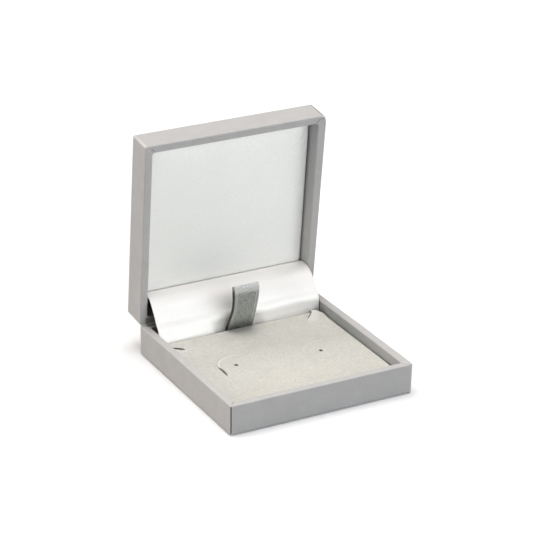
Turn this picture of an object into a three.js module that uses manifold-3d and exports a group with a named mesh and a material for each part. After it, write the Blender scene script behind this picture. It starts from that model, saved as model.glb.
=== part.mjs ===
// Earring box: a square wrapped box with a hinged lid, a padded satin panel and a lift-out flocked insert.
// Millimetres, +Z up, +X to the right and +Y towards the hinge. The origin is the middle of the underside.
// It stands open, as it is stored: every piece of the lid is built shut and then turned about the hinge.

import * as THREE from "three";
import { mergeVertices } from "three/addons/utils/BufferGeometryUtils.js";
import Module from "manifold-3d";

const wasm = await Module();
wasm.setup();

// The two shells
const boxWidth = 90;
const boxDepth = 90;
const baseHeight = 14.2; // from the table to the base's rim
const lidHeight = 13.3; // from the lid's rim to its flat top
const partingGap = 0.3; // between the two rims of the shut box
const openAngle = 84.8; // degrees from shut to the stop
const wallThickness = 3.6; // of a wrapped wall, as its rim shows it
const floorThickness = 2.4; // of the wrapped floor, or of the lid's wrapped top
const wrapThickness = 0.5;
const glueGap = 0.1; // between the wrap and the board under it
const outerCorner = 1.6; // radius of a shell's corner, seen from above
const innerCorner = 1.0;
const rimRadius = 0.7; // rounding of the rims and of the outer edges
const turnInWidth = 12; // of the wrap's turned-in edge under the base
const sheetThickness = 0.4; // of the paper glued under the base
const sheetInset = 2;

// The hinge
const hingeInset = 0.3; // from the rear face in to the hinge's axis
const leafWidth = 60;
const leafThickness = 0.5;
const leafDrop = 7.2; // from the axis to the leaf's far edge
const knuckleRadius = 0.95;
const boreRadius = 0.45;
const pinRadius = 0.4;
const knuckleCount = 5;
const knuckleGap = 0.3;
const seatGap = 0.3; // between a fitted piece and its seat
const rivetInset = 7; // from each end of a leaf in to its rivet
const rivetDrop = 4.4; // from the axis to the rivets
const rivetHeadRadius = 1.6;
const rivetHeadHeight = 0.6;
const rivetShankRadius = 0.7;
const rivetShankGap = 0.1;
const rivetBite = 2.2; // how far a rivet reaches into the wall
const springWidth = 7;
const springSpread = 20; // between the two springs' middles
const springThickness = 0.3;
const springFoot = 6.4; // length of the straight foot on each leaf

// The lift-out insert
const insertTop = 9.2; // from the table to the flocked surface
const insertSideGap = 0.35; // to the base's inner walls
const hingeRoom = 10; // from the insert's rear edge to the rear inner wall
const insertCorner = 1.5;
const velourThickness = 0.5;
const cardThickness = 1.0;
const legSetback = 4; // from the insert's corners to its folded legs
const legGap = 0.1; // under the legs
const pinHoleRadius = 0.6;
const leftPost = new THREE.Vector2(-19.9, -1.9);
const rightPost = new THREE.Vector2(21.0, -5.8);
const cutWidth = 0.3; // of the C-shaped cuts
const cutRadius = 11;
const cutCentre = new THREE.Vector2(2.2, -0.2); // of the round stretch, from the pin hole
const cutCornerRadius = 1.6;
const cutDrop = 12.4; // from the pin hole forward to the straight stretch
const cutEnd = 4.6; // where the straight stretch ends, right of the pin hole
const slitWidth = 0.6; // of the diagonal slits in the rear corners
const slitLength = 7;
const slitInset = new THREE.Vector2(7, 3.4); // from a rear corner to the slit's middle
const throughCut = 5; // how far a cutter stands past the sheet on both sides

// The ribbon
const ribbonWidth = 13;
const ribbonMiddle = -1.1; // its place along x
const ribbonThickness = 0.4;
const ribbonRise = 24; // above the flocked surface
const ribbonLean = 7.2; // how far its top leans to the front
const ribbonFoldRadius = 1.3;
const ribbonTuck = 9; // length of each end under the card
const ribbonNotchGap = 1; // beside the ribbon in the rear leg
const ribbonBend = 1; // of its turn round the insert's rear edge

// The padded panel in the lid
const padSideGap = 0.5;
const padRearRoom = 9.6; // from the rear inner wall to the panel's lower edge
const padFace = 6.2; // from the rim in to the middle of the panel
const padCrown = 1.0;
const padEdgeRadius = 1.2;
const padCorner = 2.2;
const padCardThickness = 0.8;
const coverThickness = 0.4;

// The satin flap over the hinge
const flapSideGap = 0.6;
const flapThickness = 0.35;
const flapFoot = 3.6; // length of its glued end on the floor
const flapDent = 1.9; // how far the ribbon pushes it back
const flapDentFade = 7; // over which the dent fades out beside the ribbon
const flapRipple = 0.35;
const flapRippleCount = 2.5;

// Values that follow from the sizes above
const halfWidth = boxWidth / 2;
const halfDepth = boxDepth / 2;
const pocketX = halfWidth - wallThickness;
const pocketY = halfDepth - wallThickness;
const axisY = halfDepth - hingeInset;
const axisZ = baseHeight + partingGap / 2;
const closedTop = baseHeight + partingGap + lidHeight;
const openTurn = THREE.MathUtils.degToRad(openAngle);
const baseShellHeight = baseHeight - sheetThickness;
const baseFloor = sheetThickness + floorThickness;
const leafFront = pocketY - seatGap - leafThickness;
const rivetSpread = leafWidth - 2 * rivetInset; // between the two rivets of a leaf
const insertX = pocketX - insertSideGap;
const insertFront = -pocketY + insertSideGap;
const insertRear = pocketY - hingeRoom;
const cardTop = insertTop - velourThickness;
const cardBottom = cardTop - cardThickness;
const padX = pocketX - padSideGap;
const padFront = -pocketY + padSideGap;
const padRear = pocketY - padRearRoom;

// Solids and meshes

function solidFrom(geometry) {
  const bare = geometry.index ? geometry.toNonIndexed() : geometry.clone();
  bare.deleteAttribute("normal");
  bare.deleteAttribute("uv");
  const merged = mergeVertices(bare, 1e-4);
  return new wasm.Manifold(
    new wasm.Mesh({
      numProp: 3,
      vertProperties: merged.getAttribute("position").array,
      triVerts: new Uint32Array(merged.index.array),
    }),
  );
}

function geometryFrom(solid) {
  const made = solid.getMesh();
  const geometry = new THREE.BufferGeometry();
  geometry.setAttribute("position", new THREE.BufferAttribute(made.vertProperties, 3));
  geometry.setIndex(new THREE.BufferAttribute(made.triVerts, 1));
  const flat = geometry.toNonIndexed();
  flat.computeVertexNormals();
  return flat;
}

function boxBetween(low, high) {
  const size = high.map((value, axis) => value - low[axis]);
  const middle = high.map((value, axis) => (value + low[axis]) / 2);
  return solidFrom(new THREE.BoxGeometry(...size).translate(...middle));
}

function rectangleOn(path, halfX, halfY, radius) {
  path.moveTo(halfX, -halfY + radius);
  path.absarc(halfX - radius, halfY - radius, radius, 0, Math.PI / 2);
  path.absarc(-halfX + radius, halfY - radius, radius, Math.PI / 2, Math.PI);
  path.absarc(-halfX + radius, -halfY + radius, radius, Math.PI, 1.5 * Math.PI);
  path.absarc(halfX - radius, -halfY + radius, radius, 1.5 * Math.PI, 2 * Math.PI);
  path.closePath();
  return path;
}

// An upright block of any outline. Its upper and lower edges, holes' edges too, are rounded by radius.
function uprightBlock(shape, bottom, top, radius = 0) {
  const geometry = new THREE.ExtrudeGeometry(shape, {
    depth: top - bottom - 2 * radius,
    curveSegments: 2,
    bevelEnabled: radius > 0,
    bevelThickness: radius,
    bevelSize: radius,
    bevelOffset: -radius,
    bevelSegments: 3,
  });
  return solidFrom(geometry.translate(0, 0, bottom + radius));
}

// A block along x whose section is drawn in y and z.
function crossBlock(shape, left, right, curveSegments = 6) {
  const geometry = new THREE.ExtrudeGeometry(shape, {
    depth: right - left,
    curveSegments,
    bevelEnabled: false,
  });
  const turn = new THREE.Matrix4().makeBasis(
    new THREE.Vector3(0, 1, 0),
    new THREE.Vector3(0, 0, 1),
    new THREE.Vector3(1, 0, 0),
  );
  return solidFrom(geometry.applyMatrix4(turn).translate(left, 0, 0));
}

// The outline of a thin strip that follows a line of points.
function stripShape(points, thickness) {
  const sides = points.map((point, index) => {
    const before = points[Math.max(index - 1, 0)];
    const after = points[Math.min(index + 1, points.length - 1)];
    const along = after.clone().sub(before).normalize();
    const across = new THREE.Vector2(-along.y, along.x).multiplyScalar(thickness / 2);
    return [point.clone().add(across), point.clone().sub(across)];
  });
  const left = sides.map((side) => side[0]);
  const right = sides.map((side) => side[1]).reverse();
  return new THREE.Shape([...left, ...right]);
}

function rodAcross(radius, left, right, y, z, sides) {
  const rod = new THREE.CylinderGeometry(radius, radius, right - left, sides);
  return solidFrom(rod.rotateZ(Math.PI / 2).translate((left + right) / 2, y, z));
}

// Shells. In a shell's own frame z is 0 at its closed outer face and the rim is at its height.
// The lid's shell is this same form, turned over.

function notchFor(height, grow) {
  const sideways = leafWidth / 2 + seatGap + grow;
  const bottom = height + partingGap / 2 - knuckleRadius - seatGap - grow;
  const past = wallThickness;
  return boxBetween(
    [-sideways, pocketY - past, bottom],
    [sideways, halfDepth + past, height + past],
  );
}

function shellForm(height, inset, glue) {
  const outline = rectangleOn(
    new THREE.Shape(),
    halfWidth - inset,
    halfDepth - inset,
    outerCorner - inset,
  );
  const frame = outline.clone();
  frame.holes.push(
    rectangleOn(new THREE.Path(), pocketX + inset, pocketY + inset, innerCorner + inset),
  );
  const edge = Math.max(rimRadius - inset, 0);
  const walls = uprightBlock(frame, inset, height - inset, edge);
  const floor = uprightBlock(outline, inset, floorThickness - glue, 0)
    .intersect(uprightBlock(outline, inset, height - inset, edge));
  return walls.add(floor).subtract(notchFor(height, inset));
}

function rivetPlaces() {
  return [-rivetSpread / 2, rivetSpread / 2];
}

// A leaf's rivets are drawn along y, with the head's flat side at y = 0.
function rivetForm(grow) {
  const headSteps = 5;
  const profile = [];
  for (let step = 0; step <= headSteps; step += 1) {
    const turn = (step / headSteps) * (Math.PI / 2);
    const out = rivetHeadRadius * Math.sin(turn);
    profile.push(new THREE.Vector2(out, -rivetHeadHeight * Math.cos(turn)));
  }
  profile.push(new THREE.Vector2(rivetShankRadius + grow, 0));
  profile.push(new THREE.Vector2(rivetShankRadius + grow, rivetLength() + grow));
  profile.push(new THREE.Vector2(0, rivetLength() + grow));
  return new THREE.LatheGeometry(profile, 16);
}

function rivetLength() {
  return seatGap + leafThickness + seatGap + rivetBite;
}

function rivetSeat() {
  return leafFront - seatGap;
}

function rivetHoles(height) {
  const z = height + partingGap / 2 - rivetDrop;
  return rivetPlaces().map((x) => solidFrom(rivetForm(rivetShankGap).translate(x, rivetSeat(), z)));
}

function withoutAll(solid, cuts) {
  return cuts.reduce((left, cut) => left.subtract(cut), solid);
}

function carcassOf(height) {
  return withoutAll(shellForm(height, wrapThickness + glueGap, glueGap), rivetHoles(height));
}

function wrapOf(height) {
  const skin = shellForm(height, 0, 0).subtract(shellForm(height, wrapThickness, 0));
  return withoutAll(skin, rivetHoles(height));
}

// Under the base the wrap's turned-in edges leave a window, and the board fills it.
function windowBlock(shrink, bottom, top) {
  const halfX = halfWidth - turnInWidth - shrink;
  const halfY = halfDepth - turnInWidth - shrink;
  return uprightBlock(rectangleOn(new THREE.Shape(), halfX, halfY, outerCorner), bottom, top);
}

function baseCarcass() {
  const board = windowBlock(glueGap, glueGap, floorThickness / 2);
  return carcassOf(baseShellHeight).add(board);
}

function baseWrap() {
  return wrapOf(baseShellHeight).subtract(windowBlock(0, -wrapThickness, floorThickness));
}

function undersideSheet() {
  const halfX = halfWidth - sheetInset;
  const halfY = halfDepth - sheetInset;
  return uprightBlock(rectangleOn(new THREE.Shape(), halfX, halfY, outerCorner), 0, sheetThickness);
}

// The hinge, drawn in a shell's own frame

function knuckleSpan(index) {
  const pitch = leafWidth / knuckleCount;
  const left = -leafWidth / 2 + index * pitch;
  return [left + knuckleGap / 2, left + pitch - knuckleGap / 2];
}

function hingeLeaf(height, first) {
  const z = height + partingGap / 2;
  const lower = z - knuckleRadius;
  const upper = lower + leafThickness;
  const leafBack = leafFront + leafThickness;
  const section = new THREE.Shape([
    new THREE.Vector2(axisY, lower),
    new THREE.Vector2(axisY, upper),
    new THREE.Vector2(leafFront, upper),
    new THREE.Vector2(leafFront, z - leafDrop),
    new THREE.Vector2(leafBack, z - leafDrop),
    new THREE.Vector2(leafBack, lower),
  ]);
  const roll = new THREE.Shape().absarc(axisY, z, knuckleRadius, 0, 2 * Math.PI);
  let leaf = crossBlock(section, -leafWidth / 2, leafWidth / 2);
  for (let index = 0; index < knuckleCount; index += 1) {
    const [left, right] = knuckleSpan(index);
    if (index % 2 === first) {
      leaf = leaf.add(crossBlock(roll, left, right));
      continue;
    }
    const clear = axisY - knuckleRadius - seatGap;
    leaf = leaf.subtract(
      boxBetween(
        [left - knuckleGap, clear, lower - seatGap],
        [right + knuckleGap, halfDepth + knuckleRadius, z + knuckleRadius],
      ),
    );
  }
  const bore = rodAcross(boreRadius, -leafWidth, leafWidth, axisY, z, 12);
  return withoutAll(leaf.subtract(bore), rivetHoles(height));
}

function hingePin() {
  return rodAcross(pinRadius, -leafWidth / 2, leafWidth / 2, axisY, axisZ, 12);
}

// A spring strip: a straight foot on the base's leaf, a bend round the hinge and a foot on the lid's leaf.
function snapSpring(middle) {
  const radius = axisY - leafFront + seatGap + springThickness / 2;
  const bendSteps = 10;
  const points = [new THREE.Vector2(axisY - radius, axisZ - springFoot)];
  for (let step = 0; step <= bendSteps; step += 1) {
    const turn = Math.PI - (openTurn * step) / bendSteps;
    points.push(
      new THREE.Vector2(axisY + radius * Math.cos(turn), axisZ + radius * Math.sin(turn)),
    );
  }
  points.push(openPoint(axisY - radius, axisZ + springFoot));
  const shape = stripShape(points, springThickness);
  return crossBlock(shape, middle - springWidth / 2, middle + springWidth / 2);
}

// Where a point of the shut lid comes to when the lid is open.
function openPoint(y, z) {
  const awayY = y - axisY;
  const awayZ = z - axisZ;
  return new THREE.Vector2(
    axisY + awayY * Math.cos(openTurn) + awayZ * Math.sin(openTurn),
    axisZ - awayY * Math.sin(openTurn) + awayZ * Math.cos(openTurn),
  );
}

// The insert

function insertSheet(bottom, top) {
  const middle = (insertFront + insertRear) / 2;
  const halfY = (insertRear - insertFront) / 2;
  const outline = rectangleOn(new THREE.Shape(), insertX, halfY, insertCorner);
  return uprightBlock(outline, bottom, top).translate([0, middle, 0]);
}

// The C-shaped cut beside a pin hole: a round stretch, then straight forward and straight to the right.
function tongueLine(post) {
  const points = [];
  const roundSteps = 14;
  const roundStart = THREE.MathUtils.degToRad(70);
  for (let step = 0; step <= roundSteps; step += 1) {
    const turn = roundStart + ((Math.PI - roundStart) * step) / roundSteps;
    points.push(
      new THREE.Vector2(Math.cos(turn), Math.sin(turn)).multiplyScalar(cutRadius).add(cutCentre),
    );
  }
  const cornerSteps = 4;
  const corner = new THREE.Vector2(
    cutCentre.x - cutRadius + cutCornerRadius,
    -cutDrop + cutCornerRadius,
  );
  for (let step = 0; step <= cornerSteps; step += 1) {
    const turn = Math.PI + ((Math.PI / 2) * step) / cornerSteps;
    points.push(
      new THREE.Vector2(Math.cos(turn), Math.sin(turn)).multiplyScalar(cutCornerRadius).add(corner),
    );
  }
  points.push(new THREE.Vector2(cutEnd, -cutDrop));
  return points.map((point) => point.add(post));
}

function slitLine(side) {
  const middle = new THREE.Vector2(side * (insertX - slitInset.x), insertRear - slitInset.y);
  const half = new THREE.Vector2(side, 1).normalize().multiplyScalar(slitLength / 2);
  return [middle.clone().sub(half), middle.clone().add(half)];
}

function insertCuts() {
  const shapes = [leftPost, rightPost].map((post) => stripShape(tongueLine(post), cutWidth));
  for (const side of [-1, 1]) {
    shapes.push(stripShape(slitLine(side), slitWidth));
  }
  for (const post of [leftPost, rightPost]) {
    shapes.push(new THREE.Shape().absarc(post.x, post.y, pinHoleRadius, 0, 2 * Math.PI));
  }
  const low = cardBottom - throughCut;
  return shapes.map((shape) => uprightBlock(shape, low, insertTop + throughCut));
}

function insertVelour() {
  return withoutAll(insertSheet(cardTop, insertTop), insertCuts());
}

function insertCard() {
  const foot = baseFloor + legGap;
  const legX = insertX - legSetback;
  const legFront = insertFront + legSetback;
  const legRear = insertRear - legSetback;
  const inside = insertX - cardThickness;
  const legs = [
    boxBetween([-insertX, legFront, foot], [-inside, legRear, cardTop]),
    boxBetween([inside, legFront, foot], [insertX, legRear, cardTop]),
    boxBetween([-legX, insertFront, foot], [legX, insertFront + cardThickness, cardTop]),
    boxBetween([-legX, insertRear - cardThickness, foot], [legX, insertRear, cardTop]),
  ];
  const notchHalf = ribbonWidth / 2 + ribbonNotchGap;
  const ribbonNotch = boxBetween(
    [ribbonMiddle - notchHalf, insertRear - 2 * cardThickness, foot - legGap],
    [ribbonMiddle + notchHalf, insertRear + cardThickness, cardBottom],
  );
  const folded = legs.reduce((whole, leg) => whole.add(leg), insertSheet(cardBottom, cardTop));
  return withoutAll(folded.subtract(ribbonNotch), insertCuts());
}

// The ribbon: from under the card, up behind the rear edge, over a round fold and down again.
function pullRibbon() {
  const footY = insertRear + seatGap + ribbonThickness / 2;
  const footSpacing = 2 * ribbonThickness;
  const tuckZ = cardBottom - seatGap - ribbonThickness / 2;
  const foldZ = insertTop + ribbonRise - ribbonFoldRadius;
  const foldY = footY - ribbonLean;
  const front = (share) => footY - ribbonLean * Math.sin(share * Math.PI * 0.5);
  const spacing = (share) => footSpacing + (2 * ribbonFoldRadius - footSpacing) * share;
  const shares = [0.2, 0.45, 0.7];
  const heightAt = (share) => insertTop + (foldZ - insertTop) * share;
  const line = [
    new THREE.Vector2(footY - ribbonTuck, tuckZ),
    new THREE.Vector2(footY - ribbonBend, tuckZ),
    new THREE.Vector2(footY, insertTop - velourThickness),
  ];
  for (const share of shares) {
    line.push(new THREE.Vector2(front(share), heightAt(share)));
  }
  line.push(new THREE.Vector2(foldY, foldZ));
  line.push(new THREE.Vector2(foldY + ribbonFoldRadius, foldZ + ribbonFoldRadius));
  line.push(new THREE.Vector2(foldY + 2 * ribbonFoldRadius, foldZ));
  for (const share of shares.slice().reverse()) {
    line.push(new THREE.Vector2(front(share) + spacing(share), heightAt(share)));
  }
  const lowerTuck = tuckZ - footSpacing;
  line.push(new THREE.Vector2(footY + footSpacing, insertTop - velourThickness));
  line.push(new THREE.Vector2(footY - ribbonBend, lowerTuck));
  line.push(new THREE.Vector2(footY - ribbonTuck, lowerTuck));
  const points = new THREE.SplineCurve(line).getPoints(60);
  const left = ribbonMiddle - ribbonWidth / 2;
  return crossBlock(stripShape(points, ribbonThickness), left, left + ribbonWidth);
}

// Closed surfaces joined from rows of points

function surfaceFrom(rows, triangles) {
  const geometry = new THREE.BufferGeometry();
  geometry.setAttribute("position", new THREE.Float32BufferAttribute(rows.flat(2), 3));
  geometry.setIndex(triangles);
  return geometry;
}

// The padded panel, drawn in the lid's shell frame: a stack of rounded outlines that swell at the side,
// turn over a round edge and rise to a crown.
function padForm(inset, bottom, face) {
  const sections = [[0, bottom]];
  const edgeSteps = 4;
  const edgeTop = face - padCrown;
  for (let step = 0; step <= edgeSteps; step += 1) {
    const turn = (step / edgeSteps) * (Math.PI / 2);
    const inward = padEdgeRadius * (1 - Math.cos(turn));
    sections.push([inward, edgeTop - padEdgeRadius * (1 - Math.sin(turn))]);
  }
  const reach = Math.min(padX, (padRear - padFront) / 2) - padCorner;
  const crownSteps = 7;
  for (let step = 1; step <= crownSteps; step += 1) {
    const share = step / crownSteps;
    const inward = padEdgeRadius + (reach - padEdgeRadius) * share * share;
    const rise = 1 - (1 - inward / reach) ** 3;
    sections.push([inward, edgeTop + padCrown * rise]);
  }
  return loftOf(sections.map(([inward, z]) => padRing(inset + inward, z)));
}

function padRing(inset, z) {
  const middle = (padFront + padRear) / 2;
  const halfX = padX - inset;
  const halfY = (padRear - padFront) / 2 - inset;
  const radius = Math.max(Math.min(padCorner, halfX, halfY) - inset / 4, padCorner / 4);
  const cornerSteps = 5;
  const ring = [];
  for (let corner = 0; corner < 4; corner += 1) {
    const signX = corner === 0 || corner === 3 ? 1 : -1;
    const signY = corner < 2 ? 1 : -1;
    for (let step = 0; step <= cornerSteps; step += 1) {
      const turn = (corner + step / cornerSteps) * (Math.PI / 2);
      ring.push([
        signX * (halfX - radius) + radius * Math.cos(turn),
        middle + signY * (halfY - radius) + radius * Math.sin(turn),
        z,
      ]);
    }
  }
  return ring;
}

// Joins rings of equal length into one closed solid with flat ends.
function loftOf(rings) {
  const count = rings[0].length;
  const triangles = [];
  for (let level = 0; level < rings.length - 1; level += 1) {
    for (let index = 0; index < count; index += 1) {
      const next = (index + 1) % count;
      const here = level * count;
      const above = here + count;
      triangles.push(here + index, here + next, above + next);
      triangles.push(here + index, above + next, above + index);
    }
  }
  const last = (rings.length - 1) * count;
  for (let index = 1; index < count - 1; index += 1) {
    triangles.push(0, index + 1, index);
    triangles.push(last, last + index, last + index + 1);
  }
  return solidFrom(surfaceFrom(rings, triangles));
}

const padBottom = floorThickness + seatGap;
const coverFace = lidHeight - padFace;
const padLining = coverThickness + seatGap;

function lidPadCard() {
  const halfX = padX - padLining;
  const halfY = (padRear - padFront) / 2 - padLining;
  const outline = rectangleOn(new THREE.Shape(), halfX, halfY, padCorner);
  const middle = (padFront + padRear) / 2;
  return uprightBlock(outline, padBottom, padBottom + padCardThickness).translate([0, middle, 0]);
}

function lidPadFoam() {
  return padForm(padLining, padBottom + padCardThickness + seatGap, coverFace - padLining);
}

function lidPadCover() {
  const below = padBottom - padLining;
  return padForm(0, padBottom, coverFace).subtract(
    padForm(coverThickness, below, coverFace - coverThickness),
  );
}

// The satin flap. Its line runs from the lid's ceiling down beside the panel's edge, bows over the hinge
// and drops behind the insert to a glued foot. A bow's share is 0 at the lid's rim line and 1 at the base's.
const flapBow = [
  { share: 0.0, dip: 0.0 },
  { share: 0.3, dip: 1.2 },
  { share: 0.52, dip: 1.7 },
  { share: 0.74, dip: 1.9 },
  { share: 0.93, dip: 0.5 },
];

function flapLine(x) {
  const lineY = insertRear + seatGap + flapThickness / 2;
  const reach = axisY - lineY;
  const edgeY = padRear + seatGap + flapThickness / 2;
  const ceiling = closedTop - floorThickness - seatGap;
  const panelFace = baseHeight + partingGap + padFace + padCrown;
  const besideRibbon = Math.abs(x - ribbonMiddle) - ribbonWidth / 2 - ribbonNotchGap;
  const faded = THREE.MathUtils.clamp(besideRibbon / flapDentFade, 0, 1);
  const dent = (flapDent * (1 + Math.cos(Math.PI * faded))) / 2;
  const wave = flapRipple * Math.sin((x / halfWidth) * flapRippleCount * Math.PI);
  const bows = flapBow.map(({ share, dip }) => {
    const turn = Math.PI - openTurn * (1 - share);
    const radius = reach - dip - wave * Math.sin(Math.PI * share) - dent * share;
    return new THREE.Vector2(axisY + radius * Math.cos(turn), axisZ + radius * Math.sin(turn));
  });
  const back = lineY + dent;
  const floorZ = baseFloor + seatGap + flapThickness / 2;
  return [
    openPoint(edgeY, ceiling),
    openPoint(edgeY, panelFace),
    ...bows,
    new THREE.Vector2(back, insertTop + seatGap),
    new THREE.Vector2(back, (insertTop + floorZ) / 2),
    new THREE.Vector2(back + flapThickness, floorZ + flapThickness),
    new THREE.Vector2(back + flapFoot, floorZ),
  ];
}

function satinFlap() {
  const columns = 26;
  const rowsAlong = 20;
  const half = pocketX - flapSideGap;
  const front = [];
  const rear = [];
  for (let column = 0; column <= columns; column += 1) {
    const x = -half + (2 * half * column) / columns;
    const points = new THREE.SplineCurve(flapLine(x)).getPoints(rowsAlong);
    points.forEach((point, index) => {
      const before = points[Math.max(index - 1, 0)];
      const after = points[Math.min(index + 1, rowsAlong)];
      const along = after.clone().sub(before).normalize().multiplyScalar(flapThickness / 2);
      front.push([x, point.x + along.y, point.y - along.x]);
      rear.push([x, point.x - along.y, point.y + along.x]);
    });
  }
  const stride = rowsAlong + 1;
  const shift = (columns + 1) * stride;
  const triangles = [];
  const addQuad = (a, b, c, d) => triangles.push(a, b, c, a, c, d);
  for (let column = 0; column < columns; column += 1) {
    const here = column * stride;
    const next = here + stride;
    for (let row = 0; row < rowsAlong; row += 1) {
      addQuad(here + row, here + row + 1, next + row + 1, next + row);
      addQuad(shift + here + row, shift + next + row, shift + next + row + 1, shift + here + row + 1);
    }
    addQuad(here, next, shift + next, shift + here);
    const end = rowsAlong;
    addQuad(here + end, shift + here + end, shift + next + end, next + end);
  }
  const lastColumn = columns * stride;
  for (let row = 0; row < rowsAlong; row += 1) {
    addQuad(row, shift + row, shift + row + 1, row + 1);
    const side = lastColumn + row;
    addQuad(side, side + 1, shift + side + 1, shift + side);
  }
  return solidFrom(surfaceFrom([front, rear], triangles));
}

// Finishes, and the assembly

const finishes = {
  wrap: { color: 0xaaa7a4, roughness: 0.6, metalness: 0 },
  board: { color: 0x9b958b, roughness: 0.9, metalness: 0 },
  paper: { color: 0x8f8c89, roughness: 0.85, metalness: 0 },
  steel: { color: 0xb9bbbd, roughness: 0.35, metalness: 1 },
  satin: { color: 0xebebe6, roughness: 0.35, metalness: 0 },
  card: { color: 0xd8d2c4, roughness: 0.85, metalness: 0 },
  foam: { color: 0xf1efe8, roughness: 0.95, metalness: 0 },
  velour: { color: 0xdcd9d0, roughness: 0.95, metalness: 0 },
  ribbon: { color: 0x878a84, roughness: 0.6, metalness: 0 },
};

function meshOf(name, solid, finish) {
  const mesh = new THREE.Mesh(
    geometryFrom(solid),
    new THREE.MeshStandardMaterial(finishes[finish]),
  );
  mesh.name = name;
  return mesh;
}

function addRivets(parent, prefix, height) {
  const z = height + partingGap / 2 - rivetDrop;
  rivetPlaces().forEach((x, index) => {
    const mesh = new THREE.Mesh(rivetForm(0), new THREE.MeshStandardMaterial(finishes.steel));
    mesh.name = `${prefix}_rivet_${index + 1}`;
    mesh.position.set(x, rivetSeat(), z);
    parent.add(mesh);
  });
}

const group = new THREE.Group();
group.add(meshOf("base_underside_sheet", undersideSheet(), "paper"));

const baseShell = new THREE.Group();
baseShell.position.z = sheetThickness;
baseShell.add(meshOf("base_carcass", baseCarcass(), "board"));
baseShell.add(meshOf("base_wrap", baseWrap(), "wrap"));
baseShell.add(meshOf("hinge_base_leaf", hingeLeaf(baseShellHeight, 0), "steel"));
addRivets(baseShell, "base", baseShellHeight);
group.add(baseShell);
group.add(meshOf("hinge_pin", hingePin(), "steel"));

const lidTurn = new THREE.Group();
lidTurn.position.set(0, axisY, axisZ);
lidTurn.rotation.x = -openTurn;
const lidShell = new THREE.Group();
lidShell.position.set(0, -axisY, closedTop - axisZ);
lidShell.rotation.y = Math.PI;
lidShell.add(meshOf("lid_carcass", carcassOf(lidHeight), "board"));
lidShell.add(meshOf("lid_wrap", wrapOf(lidHeight), "wrap"));
lidShell.add(meshOf("hinge_lid_leaf", hingeLeaf(lidHeight, 1), "steel"));
lidShell.add(meshOf("lid_pad_card", lidPadCard(), "card"));
lidShell.add(meshOf("lid_pad_foam", lidPadFoam(), "foam"));
lidShell.add(meshOf("lid_pad_cover", lidPadCover(), "satin"));
addRivets(lidShell, "lid", lidHeight);
lidTurn.add(lidShell);
group.add(lidTurn);

group.add(meshOf("insert_card", insertCard(), "card"));
group.add(meshOf("insert_velour", insertVelour(), "velour"));
group.add(meshOf("pull_ribbon", pullRibbon(), "ribbon"));
group.add(meshOf("satin_flap", satinFlap(), "satin"));
group.add(meshOf("snap_spring_left", snapSpring(-springSpread / 2), "steel"));
group.add(meshOf("snap_spring_right", snapSpring(springSpread / 2), "steel"));

export default group;
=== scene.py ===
import math

import bmesh
import bpy
from mathutils import Matrix, Quaternion, Vector, noise


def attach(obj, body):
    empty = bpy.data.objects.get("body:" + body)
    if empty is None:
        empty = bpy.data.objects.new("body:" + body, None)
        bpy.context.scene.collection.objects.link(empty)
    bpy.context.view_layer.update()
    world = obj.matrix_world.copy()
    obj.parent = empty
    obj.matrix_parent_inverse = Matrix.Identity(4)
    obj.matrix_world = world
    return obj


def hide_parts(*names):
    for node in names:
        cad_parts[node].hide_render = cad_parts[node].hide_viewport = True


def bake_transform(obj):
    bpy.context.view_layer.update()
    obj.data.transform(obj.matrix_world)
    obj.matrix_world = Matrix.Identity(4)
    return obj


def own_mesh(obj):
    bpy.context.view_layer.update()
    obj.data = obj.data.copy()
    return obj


# An earring box wrapped in grey leatherette paper, standing open.
# Pieces are drawn in millimetres and brought to metres when they are finished.
mm = 0.001
tiny = 0.001  # millimetres that count as nothing
scene = bpy.context.scene
scene.view_settings.view_transform = "Standard"
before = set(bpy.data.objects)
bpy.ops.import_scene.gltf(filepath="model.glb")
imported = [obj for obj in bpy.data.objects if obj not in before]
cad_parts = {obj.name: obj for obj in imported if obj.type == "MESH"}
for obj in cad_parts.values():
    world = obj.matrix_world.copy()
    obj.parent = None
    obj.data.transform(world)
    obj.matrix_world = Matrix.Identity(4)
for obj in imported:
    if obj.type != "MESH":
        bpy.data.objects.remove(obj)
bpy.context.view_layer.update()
print("frame loaded,", len(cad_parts), "nodes")


# The camera stands where the photographer stood, found from the box's straight edges
cameraPlace = {
    "position": (-0.451145, -0.825952, 0.470844),
    "forward": (0.43591, 0.80238, -0.40763),
    "roll": 0.754,  # degrees
    "lens": 155.7,
    "sensor": 36,
    "clip": (0.01, 50),
}


def addCamera():
    data = bpy.data.cameras.new("camera")
    data.lens = cameraPlace["lens"]
    data.sensor_width = cameraPlace["sensor"]
    data.clip_start, data.clip_end = cameraPlace["clip"]
    camera = bpy.data.objects.new("camera", data)
    camera.location = cameraPlace["position"]
    camera.rotation_mode = "QUATERNION"
    aim = Vector(cameraPlace["forward"]).to_track_quat("-Z", "Y")
    camera.rotation_quaternion = aim @ Quaternion((0, 0, 1), math.radians(cameraPlace["roll"]))
    scene.collection.objects.link(camera)
    scene.camera = camera


addCamera()


# Sizes that several pieces share, in millimetres
box = {
    "halfWidth": 45,
    "halfDepth": 45,
    "baseHeight": 14.2,
    "lidHeight": 13.3,
    "partingGap": 0.3,
    "openAngle": 84.8,
    "wall": 3.6,
    "floor": 2.4,
    "sheet": 0.4,  # the paper under the base
    "hingeInset": 0.3,
    "seatGap": 0.3,
}
pocketX = box["halfWidth"] - box["wall"]
pocketY = box["halfDepth"] - box["wall"]
axisY = box["halfDepth"] - box["hingeInset"]
axisZ = box["baseHeight"] + box["partingGap"] / 2
closedTop = box["baseHeight"] + box["partingGap"] + box["lidHeight"]
openTurn = math.radians(box["openAngle"])

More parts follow.
